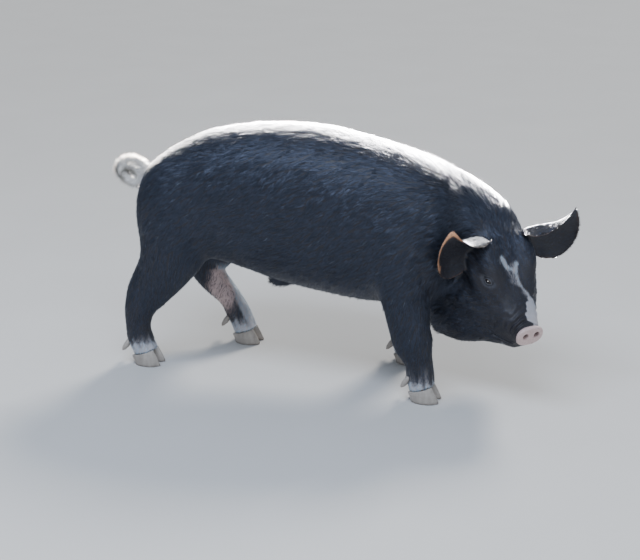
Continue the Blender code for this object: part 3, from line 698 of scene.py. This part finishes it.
# Painted shade: the nostrils' holes are darkened nearly to black.
colour = hide.mix(hide.attribute("hollow") * 0.94, colour, (0.020, 0.010, 0.010))
relief = pores * 0.35 + fine_mottle * 0.4 + hide.noise(90.0, 4.0) * 0.6
hide.set(
    Base_Color=colour,
    Roughness=hide.smoothly(fine_mottle, 0.3, 0.7, 0.40, 0.56) - bare_skin * 0.12,
    Normal=hide.bump(relief, 0.35, 0.0012),
)
skin.data.materials.clear()
skin.data.materials.append(hide.material)
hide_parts(*FLESH)
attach(skin, "root")


# ---- The eyes ----
# Each is a moist, dark brown ball with a low cornea over a round pupil. It sits in the hole that
# the lids leave, and is turned to look outward.
CORNEA_RISE = 0.0009
CORNEA_RADIUS = 0.0085
IRIS_EDGE, PUPIL_EDGE = (0.0084, 0.0094), (0.0044, 0.0036)  # off the axis, where one fades out
for side_name, centre, outward in EYES:
    bpy.ops.object.select_all(action="DESELECT")
    bpy.ops.mesh.primitive_uv_sphere_add(segments=40, ring_count=24, radius=EYE_RADIUS)
    eyeball = bpy.context.view_layer.objects.active
    eyeball.name = "eyeball_" + side_name
    eyeball.data.name = eyeball.name
    ball_places = places_of(eyeball)
    from_axis = np.hypot(ball_places[:, 0], ball_places[:, 1])
    swell = CORNEA_RISE * ramp(from_axis, CORNEA_RADIUS, 0.0) * (ball_places[:, 2] > 0)
    ball_places *= (1 + swell / EYE_RADIUS)[:, None]
    turn = np.array(outward.to_track_quat("Z", "Y").to_matrix())
    set_attribute(eyeball, "off_axis", np.where(ball_places[:, 2] > 0, from_axis, 1.0))
    move_to(eyeball, ball_places @ turn.T + np.array(centre))
    bpy.ops.object.shade_smooth()
    eye_finish = Finish("eye_" + side_name, Roughness=0.05, IOR=1.33, Coat_Weight=0.35)
    off_axis = eye_finish.attribute("off_axis")
    streaks = eye_finish.noise(420.0, 3.0)
    iris = eye_finish.mix(streaks, (0.006, 0.004, 0.004), (0.016, 0.010, 0.008))
    off_iris = eye_finish.smoothly(off_axis, *IRIS_EDGE)
    in_pupil = eye_finish.smoothly(off_axis, *PUPIL_EDGE)
    ball = eye_finish.mix(off_iris, iris, (0.030, 0.026, 0.028))
    eye_finish.set(Base_Color=eye_finish.mix(in_pupil, ball, (0.003, 0.003, 0.004)))
    eyeball.data.materials.append(eye_finish.material)
    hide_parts("eye_" + side_name)
    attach(eyeball, "root")


# ---- The claws ----
# Two main claws and two dewclaws of grey-white horn stand under each leg. They are worn, with growth
# rings across the wall, and are darker towards the sole.
CLAW_EDGE = 0.0016  # how far the wall's edges are rounded
DARKENING_HEIGHTS = (0.012, 0.003)  # above the ground: where it begins, and is full
horn = Finish("horn", IOR=1.5)
height = horn.node("ShaderNodeSeparateXYZ", output=2, Vector=horn.here())
rings = horn.noise(1.0, 2.0, vector=horn.stretched(18.0, 18.0, 300.0))
streak = horn.noise(1.0, 5.0, vector=horn.stretched(90.0, 90.0, 14.0))
horn_colour = horn.mix(streak, (0.22, 0.19, 0.17), (0.60, 0.55, 0.49))
horn_colour = horn.mix(rings * 0.30, horn_colour, (0.16, 0.13, 0.11))
darker_low = horn.smoothly(height + horn.noise(120.0) * 0.008, *DARKENING_HEIGHTS) * 0.6
horn_colour = horn.mix(darker_low, horn_colour, (0.07, 0.055, 0.045))
horn.set(
    Base_Color=horn_colour,
    Roughness=horn.smoothly(streak, 0.3, 0.7, 0.42, 0.66),
    Normal=horn.bump(rings * 0.9 + streak * 0.3, 0.6, 0.0012),
)
for leg in LEGS:
    for which in ("claw_outer", "claw_inner", "dewclaw_outer", "dewclaw_inner"):
        node = leg + "_" + which
        claw = copy_of(node, node + "_horn")
        if which.startswith("claw"):
            bpy.ops.object.mode_set(mode="EDIT")
            bpy.ops.mesh.select_all(action="SELECT")
            bpy.ops.mesh.dissolve_limited(angle_limit=math.radians(2))
            bpy.ops.object.mode_set(mode="OBJECT")
            rounding = {"width": CLAW_EDGE, "segments": 3, "limit_method": "ANGLE", "angle_limit": 0.7}
            apply_modifier(claw, "BEVEL", **rounding)
        bpy.ops.object.shade_smooth_by_angle(angle=math.radians(40))
        claw.data.materials.append(horn.material)
        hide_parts(node)
        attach(claw, "root")


# ---- The coat ----
# Short, stiff bristles lie in tufts over the skin, from the snout backwards and down the legs. They
# are longest on the crest and the tail, and only a few millimetres on the face and feet. Each is a
# thin, closed spindle of mesh, rooted just under the skin.
TAIL_HUB = np.array((-0.505516, 0.013128, 0.4450))  # middle of the tail's coil
TAIL_AXIS = (-0.25, 0.93, 0.30)
EAR_BASES = {side: np.array(in_head(0.155, side * 0.058, 0.125)) for side in (-1, 1)}
EAR_TIPS = {side: np.array(in_head(0.146, side * 0.155, 0.206)) for side in (-1, 1)}
BACKWARD = -np.array(FORWARD)
HEAD_UP = np.array(UP)
HEAD_LEFT = np.array(LEFT)


def unit(rows):
    """Rows of directions, each brought to a length of one."""
    return rows / np.maximum(np.linalg.norm(rows, axis=1), 1e-9)[:, None]


def mixed(first, second, share):
    """Goes from the first rows to the second as the share goes from 0 to 1."""
    return first * (1 - share)[:, None] + second * share[:, None]


def lie_of_coat(points, normals, numbers):
    """The direction in which the bristles lie at each place, along the skin."""
    x, y, z = points.T
    face = head_places(points)
    # Back along the body, steeper down the flank and over the loin.
    flank = ramp(z, 0.56, 0.42)
    body = np.stack([-1.0 + 0 * x, 0 * x, -0.26 - 0.44 * flank], 1)
    loin = np.exp(-(((x + 0.17) / 0.11) ** 2)) * ramp(z, 0.40, 0.47)
    body[:, 2] -= 0.75 * loin
    # Down over the rump and the legs.
    rump = np.stack([-0.55 + 0 * x, 0 * x, -0.9 + 0 * x], 1)
    body = mixed(body, rump, ramp(x, -0.33, -0.46) * ramp(z, 0.56, 0.50))
    body[:, 2] += 0.22 * np.sin(14 * x + 9 * z) + 0.10 * np.sin(37 * x - 21 * z + 2 * y)
    down = np.stack([-0.25 + 0 * x, 0 * x, -1.0 + 0 * x], 1)
    leg = is_part(numbers, "upper", "lower").astype(float)
    over_leg = np.maximum(leg, ramp(z, 0.30, 0.22) * (np.abs(y - MIDLINE) > 0.07))
    lie = mixed(body, down, np.clip(over_leg, 0, 1))
    # Back over the face, outward at its sides and down on the cheeks.
    cheek = BACKWARD + np.outer(np.sign(face[:, 1]) * 0.10, HEAD_LEFT)
    cheek = cheek - np.outer(ramp(face[:, 2], 0.06, -0.02) * 0.45, HEAD_UP)
    on_head = is_part(numbers, "head", "jaw", "snout").astype(float)
    on_neck = is_part(numbers, "neck") * ramp(x, 0.27, 0.37)
    lie = mixed(lie, unit(cheek), np.maximum(on_head, on_neck))
    # Fanned out from the base of each ear, and round the coil of the tail.
    for side in (-1, 1):
        on_ear = is_part(numbers, "ear_left" if side > 0 else "ear_right")
        along = EAR_TIPS[side] - EAR_BASES[side]
        fan = unit(points - EAR_BASES[side]) * 0.6 + along / np.linalg.norm(along)
        lie[on_ear] = fan[on_ear]
    on_tail = is_part(numbers, "tail")
    lie[on_tail] = -np.cross(points - TAIL_HUB, TAIL_AXIS)[on_tail]
    lie = lie - normals * np.sum(lie * normals, axis=1)[:, None]
    return unit(lie)


def unwrap(points, normals, numbers):
    """A flat map of the skin, with charts for the body, head, snout, tail, legs and ears."""
    x, y, z = points.T
    face = head_places(points)
    u, v = np.zeros(len(x)), np.zeros(len(x))

    def chart(where, left, low, width, height, across, along):
        u[where] = left + width * np.clip(across[where], 0, 1)
        v[where] = low + height * np.clip(along[where], 0, 1)

    def turn(second, first):
        return np.arctan2(second, first) / (2 * math.pi) + 0.5

    round_body = turn(y - MIDLINE, z - 0.38)
    chart(is_part(numbers, "trunk", "neck"), 0.01, 0.01, 0.98, 0.44, round_body, (x + 0.49) / 0.90)
    round_head = turn(face[:, 1], face[:, 2] - 0.02)
    chart(is_part(numbers, "head", "jaw"), 0.01, 0.47, 0.58, 0.25, round_head, face[:, 0] / 0.26)
    aside, above = face[:, 1] / 0.07 + 0.5, face[:, 2] / 0.06 + 0.5
    chart(is_part(numbers, "snout"), 0.61, 0.47, 0.10, 0.12, aside, above)
    round_coil = turn(z - TAIL_HUB[2], x - TAIL_HUB[0])
    chart(is_part(numbers, "tail"), 0.61, 0.61, 0.10, 0.10, round_coil, (y + 0.03) / 0.07)
    for k, leg in enumerate(LEGS):
        low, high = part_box(leg + "_lower")
        middle = (low + high) / 2
        round_leg = turn(y - middle.y, x - middle.x)
        chart(is_part(numbers, leg), 0.01 + 0.245 * k, 0.74, 0.235, 0.25, round_leg, z / 0.36)
    behind = normals @ BACKWARD > 0
    for k, (name, side) in enumerate((("ear_left", 1), ("ear_right", -1))):
        along = EAR_TIPS[side] - EAR_BASES[side]
        length = np.linalg.norm(along)
        along = along / length
        offset = points - EAR_BASES[side]
        reach = offset @ along / (length * 1.4) + 0.25
        width = offset @ np.cross(along, BACKWARD) / 0.20 + 0.5
        for back_face in (False, True):
            where = is_part(numbers, name) & (behind == back_face)
            chart(where, 0.72 + 0.14 * k, 0.47 + 0.13 * back_face, 0.13, 0.12, reach, width)
    return np.stack([u, v], 1)


skin.data.calc_loop_triangles()
skin_places = places_of(skin)
skin_normals = normals_of(skin)
skin_faces = np.empty(len(skin.data.loop_triangles) * 3, int)
skin.data.loop_triangles.foreach_get("vertices", skin_faces)
skin_faces = skin_faces.reshape(-1, 3)
face_part = number[skin_faces[:, 0]]
face_a, face_b, face_c = (skin_places[skin_faces[:, k]] for k in range(3))
face_area = 0.5 * np.linalg.norm(np.cross(face_b - face_a, face_c - face_a), axis=1)
face_middle = (face_a + face_b + face_c) / 3

BODY_LENGTH, BODY_LIFT, CREST_EXTRA, CREST_LIFT = 0.0175, 7.0, 0.013, 10.0  # lifts are in degrees
THIGH_LENGTH, TAIL_LENGTH, TAIL_LIFT = 0.0150, 0.0205, 23.0
EAR_LENGTH, EAR_LIFT, HEAD_LIFT = 0.0062, 8.0, 9.0
FACE_PLACES = [0.014, 0.035, 0.07, 0.12, 0.18, 0.24]  # behind the snout's face
FACE_LENGTHS = [0.0016, 0.0032, 0.0052, 0.0085, 0.0125, 0.017]
HALF_WIDTHS = {"body": 0.00050, "lower": 0.00042, "ear": 0.00034}


def bristle_size(points, numbers):
    """Length, half width and lift in degrees, by the part of the animal."""
    x, y, z = points.T
    back = head_places(points)[:, 0]
    length = np.full(len(x), BODY_LENGTH)
    half_width = np.full(len(x), HALF_WIDTHS["body"])
    lift = np.full(len(x), BODY_LIFT)
    crest = ramp(np.abs(y - MIDLINE), 0.055, 0.015) * ramp(z, 0.44, 0.50)
    crest *= is_part(numbers, "trunk", "neck") * (0.35 + 0.65 * ramp(x, 0.10, 0.30))
    belly = is_part(numbers, "trunk") * ramp(z, 0.26, 0.21)
    length += CREST_EXTRA * crest + 0.004 * belly
    lift += CREST_LIFT * crest + 5.0 * belly
    length = np.where(is_part(numbers, "upper"), THIGH_LENGTH, length)
    on_shank = is_part(numbers, "lower")
    length = np.where(on_shank, 0.0075 + 0.0050 * ramp(z, 0.05, 0.14), length)
    half_width = np.where(on_shank, HALF_WIDTHS["lower"], half_width)
    on_head = is_part(numbers, "head", "jaw")
    length = np.where(on_head, np.interp(back, FACE_PLACES, FACE_LENGTHS), length)
    length = np.where(is_part(numbers, "jaw"), length * 1.5, length)
    half_width = np.where(on_head, 0.00026 + 0.00022 * ramp(back, 0.03, 0.16), half_width)
    lift = np.where(on_head, HEAD_LIFT, lift)
    on_ear = is_part(numbers, "ear")
    length = np.where(on_ear, EAR_LENGTH, length)
    half_width = np.where(on_ear, HALF_WIDTHS["ear"], half_width)
    lift = np.where(on_ear, EAR_LIFT, lift)
    on_tail = is_part(numbers, "tail")
    length = np.where(on_tail, TAIL_LENGTH, length)
    lift = np.where(on_tail, TAIL_LIFT, lift)
    for _, centre, _ in EYES:
        near = ramp(distance(points, centre), 0.040, 0.018)
        length *= 1 - 0.62 * near
        half_width *= 1 - 0.25 * near
    return length, half_width, lift


HEAD_DENSITY, MUZZLE_DENSITY = 1.5, 2.4  # against the body's
MUZZLE_LENGTH = 0.07
BARE_EYE = 0.0142  # no bristle grows on the lids' edges
HORN_TOP = 0.0235  # nor on the claws


def density_of(points, numbers):
    """How closely the bristles stand at each place, against the body's."""
    on_head = is_part(numbers, "head", "jaw")
    density = np.ones(len(points))
    density[on_head] = HEAD_DENSITY
    density[on_head & (head_places(points)[:, 0] < MUZZLE_LENGTH)] = MUZZLE_DENSITY
    density[is_part(numbers, "snout")] = 0.0
    density *= 1 - 0.90 * np.clip(bare_share(points, numbers), 0, 1)
    for _, centre, _ in EYES:
        density *= distance(points, centre) >= BARE_EYE
    return density * (points[:, 2] >= HORN_TOP)


# A spindle's corners: along its length, aside and above in half widths. The tip is the last.
SPINDLE = [(0.0, 0.0, 0.0), (0.38, 1.0, 0.0), (0.38, -1.0, 0.0), (0.38, 0.0, 0.9), (1.0, 0.0, 0.0)]
SPINDLE_FACES = [(0, 3, 1), (0, 2, 3), (0, 1, 2), (4, 1, 3), (4, 3, 2), (4, 2, 1)]
SPINDLE_PATCH = [(0.5, 0.0), (0.0, 0.4), (1.0, 0.4), (0.5, 0.4), (0.5, 1.0)]
CORNERS, FACES = len(SPINDLE), len(SPINDLE_FACES)
PATCH_SIZE = 0.003
ROOT_DEPTH = 0.0005
TWIST = 0.12  # how unevenly the bristles catch the light
TUFT_SIZE = 15  # bristles in a tuft
TUFT_TURN = 0.11  # how unevenly the tufts lie
TUFT_TILT = 0.125  # and catch the light
TUFT_CLOSING = 0.55  # how far the tips draw together
TUFT_STRETCH = {"head": (0.7, 0.7, 0.7), "legs": (1.0, 1.0, 0.4), "body": (0.36, 0.8, 0.8)}


def tufts(roots, normals, lies, length, stretch):
    """Gathers bristles into tufts: each one's tuft, and how far it leans to the tuft's middle line."""
    leaders = random.choice(len(roots), max(len(roots) // TUFT_SIZE, 1), replace=False)
    tree = KDTree(len(leaders))
    scaled = roots * np.array(stretch)
    for k, leader in enumerate(leaders):
        tree.insert(scaled[leader], k)
    tree.balance()
    tuft = np.array([tree.find(place)[1] for place in scaled])
    away = roots[leaders][tuft] - roots
    away -= lies * np.sum(away * lies, axis=1)[:, None]
    away -= normals * np.sum(away * normals, axis=1)[:, None]
    return tuft, away / length[:, None] * TUFT_CLOSING


def bristles(name, roots, normals, lies, length, half_width, lift, white_and_highlight, shade, chart, tilt):
    """One joined mesh of closed spindles, with its finish's attributes and its flat map."""
    count = len(roots)
    lift = np.radians(lift)[:, None]
    run = lies * np.cos(lift) + normals * np.sin(lift)
    across = unit(np.cross(normals, run))
    over = np.cross(run, across)
    corners = np.empty((count, CORNERS, 3))
    shading = np.empty((count, CORNERS, 3))
    start = roots - normals * ROOT_DEPTH
    facing = normals + tilt + random.normal(0, TWIST, (count, 3))
    for k, (along, aside, above) in enumerate(SPINDLE):
        corners[:, k] = (
            start
            + run * (along * length)[:, None]
            + across * (aside * half_width)[:, None]
            + over * (above * half_width)[:, None]
        )
        shading[:, k] = unit(facing + across * aside * 0.55 + over * 0.25)
    faces = np.arange(count)[:, None, None] * CORNERS + np.array(SPINDLE_FACES)[None]
    mesh = bpy.data.meshes.new(name)
    mesh.vertices.add(count * CORNERS)
    mesh.loops.add(count * FACES * 3)
    mesh.polygons.add(count * FACES)
    mesh.vertices.foreach_set("co", corners.ravel())
    mesh.loops.foreach_set("vertex_index", faces.ravel().astype(np.int32))
    mesh.polygons.foreach_set("loop_start", np.arange(0, count * FACES * 3, 3, dtype=np.int32))
    mesh.update(calc_edges=True)
    mesh.polygons.foreach_set("use_smooth", np.ones(count * FACES, bool))
    layer = mesh.uv_layers.new(name="OFBake")
    patch = np.array(SPINDLE_PATCH)[np.array(SPINDLE_FACES).ravel()] - 0.5
    flat = chart[:, None, :] + patch[None] * PATCH_SIZE
    layer.data.foreach_set("uv", flat.astype(np.float32).ravel())
    mesh.normals_split_custom_set_from_vertices(shading.reshape(-1, 3))
    coat = bpy.data.objects.new(name, mesh)
    bpy.context.scene.collection.objects.link(coat)
    set_attribute(coat, "white_and_highlight", np.repeat(white_and_highlight, CORNERS))
    set_attribute(coat, "shade", np.repeat(shade, CORNERS))
    return coat


# Near-black, glossy hair with a cool sheen. The blue in the black hair is partly painted sky light,
# and the pale hair is painted bluish grey as if in blue shade; on the tail and ears the pale hair is
# painted warmer and brighter, as if sunlit.
COAT_FINISHES = {}
for name, low_pale, high_pale in (
    ("bristle_coat", (0.36, 0.45, 0.55), (0.62, 0.72, 0.82)),
    ("bright_coat", (0.80, 0.75, 0.68), (0.96, 0.92, 0.85)),
):
    finish = Finish(
        name,
        IOR=1.55,
        Specular_IOR_Level=0.62,
        Specular_Tint=(0.64, 0.73, 1.0, 1),
        Sheen_Weight=0.20,
        Sheen_Roughness=0.32,
    )
    shade_of_hair = finish.attribute("shade")
    dark = finish.mix(shade_of_hair, (0.008, 0.010, 0.014), (0.032, 0.037, 0.052))
    pale = finish.mix(shade_of_hair, low_pale, high_pale)
    finish.set(
        Base_Color=finish.mix(finish.attribute("white_and_highlight"), dark, pale),
        Roughness=finish.smoothly(shade_of_hair, 0.0, 1.0, 0.36, 0.52),
    )
    COAT_FINISHES[name] = finish

# Each region of the coat is one piece. Where the sun from behind lights its bristles, they are a
# second piece, so that the rim light can fall on them alone.
CREST_PIECES = []
TAIL_LIT = 0.40  # share of the tail's bristles
PALE_HAIRS, PALE_HAIR_SHARE = 0.004, 0.16  # how many stray hairs are pale, and how pale
LOIN = -0.12  # where the coat of the trunk is parted
random = np.random.default_rng(71)
# name, the words that pick its solids, where it lies, and how many bristles it has
COAT = [
    ("coat_rump_right", ("trunk",), lambda p: (p[:, 0] < LOIN) & (p[:, 1] < MIDLINE), 32000),
    ("coat_rump_left", ("trunk",), lambda p: (p[:, 0] < LOIN) & (p[:, 1] >= MIDLINE), 28000),
    ("coat_side_right", ("trunk",), lambda p: (p[:, 0] >= LOIN) & (p[:, 1] < MIDLINE), 32500),
    ("coat_side_left", ("trunk",), lambda p: (p[:, 0] >= LOIN) & (p[:, 1] >= MIDLINE), 28000),
    ("coat_neck", ("neck",), None, 29000),
    ("coat_head", ("head", "jaw"), None, 33000),
    ("coat_forelegs", ("foreleg",), None, 16000),
    ("coat_hindlegs", ("hindleg",), None, 27000),
    ("coat_ears", ("ear",), None, 17000),
    ("coat_tail", ("tail",), None, 8000),
]
for name, words, inside, count in COAT:
    wanted = is_part(face_part, *words)
    if inside is not None:
        wanted &= inside(face_middle)
    picked = np.flatnonzero(wanted)
    share = face_area[picked] * density_of(face_middle[picked], face_part[picked])
    share *= 1 - 0.80 * rim[skin_faces[picked, 0]]
    # Roots spread evenly over the region's faces, each at a random place of its face.
    ladder = np.cumsum(share) / share.sum()
    face_of = picked[np.searchsorted(ladder, (np.arange(count) + random.random(count)) / count)]
    u, v = random.random((2, count, 1))
    flip = (u + v) > 1
    u, v = np.where(flip, 1 - u, u), np.where(flip, 1 - v, v)
    a, b, c = (skin_faces[face_of, k] for k in range(3))
    roots = skin_places[a] * (1 - u - v) + skin_places[b] * u + skin_places[c] * v
    normals = unit(skin_normals[a] * (1 - u - v) + skin_normals[b] * u + skin_normals[c] * v)
    numbers = face_part[face_of]
    # Their lie, gathered in tufts.
    lies = lie_of_coat(roots, normals, numbers)
    length, half_width, lift = bristle_size(roots, numbers)
    stray = random.normal(0, 0.10, count)[:, None]
    lies = unit(lies + np.cross(normals, lies) * stray)
    stretch = TUFT_STRETCH["head" if words[0] in ("head", "ear", "tail") else "body"]
    if words[0] in ("foreleg", "hindleg"):
        stretch = TUFT_STRETCH["legs"]
    tuft, leaning = tufts(roots, normals, lies, length, stretch)
    turned = random.normal(0, TUFT_TURN, count)[tuft][:, None]
    lies = unit(lies + np.cross(normals, lies) * turned + leaning)
    tilt = random.normal(0, TUFT_TILT, (count, 3))[tuft]
    length = length * random.uniform(0.72, 1.22, count)
    half_width = half_width * random.uniform(0.75, 1.25, count)
    lift = lift * random.uniform(0.4, 1.7, count)
    # Their colour, and a place for each on the flat map.
    shade = 0.65 * random.random(count) ** 1.5 + 0.35 * random.random(count)[tuft]
    white_and_highlight = white_and_highlight_share(roots + lies * (0.45 * length)[:, None], numbers)
    white_and_highlight = np.maximum(white_and_highlight, PALE_HAIR_SHARE * (random.random(count) < PALE_HAIRS))
    chart = unwrap(roots, normals, numbers)
    # The lit ones face up, or up and forward on the nape. There are more on the right side.
    on_right = roots[:, 1] < MIDLINE
    upward = normals[:, 2] + 0.50 * np.maximum(normals[:, 0], 0)
    upward = np.where(on_right, ramp(upward, 0.61, 0.82), ramp(upward, 0.84, 0.96))
    on_crest = is_part(numbers, "trunk", "neck") & (random.random(count) < upward)
    on_crest |= is_part(numbers, "tail") & (random.random(count) < TAIL_LIT)
    on_crest |= is_part(numbers, "ear_right") & (white_and_highlight > 0.5)
    on_crest |= is_part(numbers, "ear_left") & (random.random(count) < ramp(normals[:, 2], 0.55, 0.85))
    rows = (roots, normals, lies, length, half_width, lift, white_and_highlight, shade, chart, tilt)
    # The tail and ears take the coat whose pale hair is painted as if sunlit.
    hair = "bright_coat" if name in ("coat_tail", "coat_ears") else "bristle_coat"
    for piece, chosen in ((name, ~on_crest), (name + "_crest", on_crest)):
        if not chosen.any():
            continue
        coat = bristles(piece, *(values[chosen] for values in rows))
        coat.data.materials.append(COAT_FINISHES[hair].material)
        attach(coat, "root")
        if piece.endswith("_crest"):
            CREST_PIECES.append(coat)


# ---- Floor, light and camera ----
# A pale, plain floor under a sun from beyond the back, a cool soft light above and a weak one in
# front. One narrow lamp lights only the bristles of the crest, tail and ears, and one only the eyes.
FLOOR_SIZE = 60.0
SKY_COLOUR, SKY_STRENGTH = (0.76, 0.86, 1.0, 1), 0.60
SUN_COLOUR, SUN_STRENGTH, SUN_SPREAD = (1.0, 0.97, 0.92), 2.9, math.radians(16)
SUN_RUN = Vector((-0.55, -2.3, -1.9))  # the way that it shines
bpy.ops.object.select_all(action="DESELECT")
bpy.ops.mesh.primitive_plane_add(size=FLOOR_SIZE, location=(0, 0, 0))
floor = bpy.context.view_layer.objects.active
floor.name = "studio_floor"
floor_finish = Finish("floor_paper", Roughness=0.85)
paper = floor_finish.mix(floor_finish.noise(3.0), (0.56, 0.55, 0.535), (0.61, 0.60, 0.585))
floor_finish.set(Base_Color=paper)
floor.data.materials.append(floor_finish.material)

world = bpy.data.worlds.new("studio")
world.use_nodes = True
world.node_tree.nodes["Background"].inputs["Color"].default_value = SKY_COLOUR
world.node_tree.nodes["Background"].inputs["Strength"].default_value = SKY_STRENGTH
bpy.context.scene.world = world


def softbox(name, place, target, width, height, power, colour):
    """An oblong lamp at a place, turned to a target and unseen itself."""
    light = bpy.data.lights.new(name, "AREA")
    light.shape = "RECTANGLE"
    light.size = width
    light.size_y = height
    light.energy = power
    light.color = colour
    thing = bpy.data.objects.new(name, light)
    bpy.context.scene.collection.objects.link(thing)
    thing.visible_camera = False
    thing.location = place
    thing.rotation_euler = (Vector(target) - Vector(place)).to_track_quat("-Z", "Y").to_euler()
    return thing


def light_only(lamp, things):
    """Lets a lamp fall on these things and nothing else."""
    lit = bpy.data.collections.new("lit_by_" + lamp.name)
    for thing in things:
        lit.objects.link(thing)
    lamp.light_linking.receiver_collection = lit


sun = bpy.data.lights.new("back_light", "SUN")
sun.energy = SUN_STRENGTH
sun.angle = SUN_SPREAD
sun.color = SUN_COLOUR
sun_thing = bpy.data.objects.new("back_light", sun)
bpy.context.scene.collection.objects.link(sun_thing)
sun_thing.rotation_euler = SUN_RUN.to_track_quat("-Z", "Y").to_euler()
rim_colour = (1.0, 0.95, 0.91)
rim_light = softbox("rim_light", (-0.15, 2.7, 1.72), (-0.05, 0, 0.5), 2.8, 0.30, 13500, rim_colour)
light_only(rim_light, CREST_PIECES)
softbox("top_light", (-0.2, -1.3, 2.6), (0, 0, 0.35), 2.2, 1.0, 62, (0.72, 0.82, 1.0))
softbox("front_light", (1.8, -2.4, 1.6), (0.1, 0, 0.3), 1.2, 1.2, 14, (0.85, 0.92, 1.0))

CAMERA_TARGET = Vector((-0.040916, 0.009128, 0.22))
CAMERA_DISTANCE = 3.0
CAMERA_TURN = math.radians(18)
CAMERA_RISE = math.radians(20)
SENSOR_WIDTH, LENS = 36.0, 72.5625  # mm
camera_data = bpy.data.cameras.new("camera")
camera_data.sensor_fit = "HORIZONTAL"
camera_data.sensor_width = SENSOR_WIDTH
camera_data.lens = LENS
camera = bpy.data.objects.new("camera", camera_data)
bpy.context.scene.collection.objects.link(camera)
level = math.cos(CAMERA_RISE)
away = Vector(
    (math.sin(CAMERA_TURN) * level, -math.cos(CAMERA_TURN) * level, math.sin(CAMERA_RISE))
)
camera.location = CAMERA_TARGET + away * CAMERA_DISTANCE
camera.rotation_euler = (-away).to_track_quat("-Z", "Y").to_euler()
bpy.context.scene.camera = camera

# A small lamp stands where the right eye, a little above its middle, mirrors it to the camera.
EYE_LIGHT_DISTANCE, EYE_LIGHT_SIZE, EYE_LIGHT_POWER = 2.2, 0.5, 60
_, centre, outward = next(eye for eye in EYES if eye[0] == "right")
look = (camera.location - centre).normalized()
facing = (outward + UP * 0.18 + look * 0.25).normalized()
aim = facing * (2 * facing.dot(look)) - look
place = centre + aim * EYE_LIGHT_DISTANCE
size, power = EYE_LIGHT_SIZE, EYE_LIGHT_POWER
eye_light = softbox("eye_light", place, centre, size, size, power, (1.0, 1.0, 1.0))
light_only(eye_light, [bpy.data.objects["eyeball_" + side] for side in ("left", "right")])
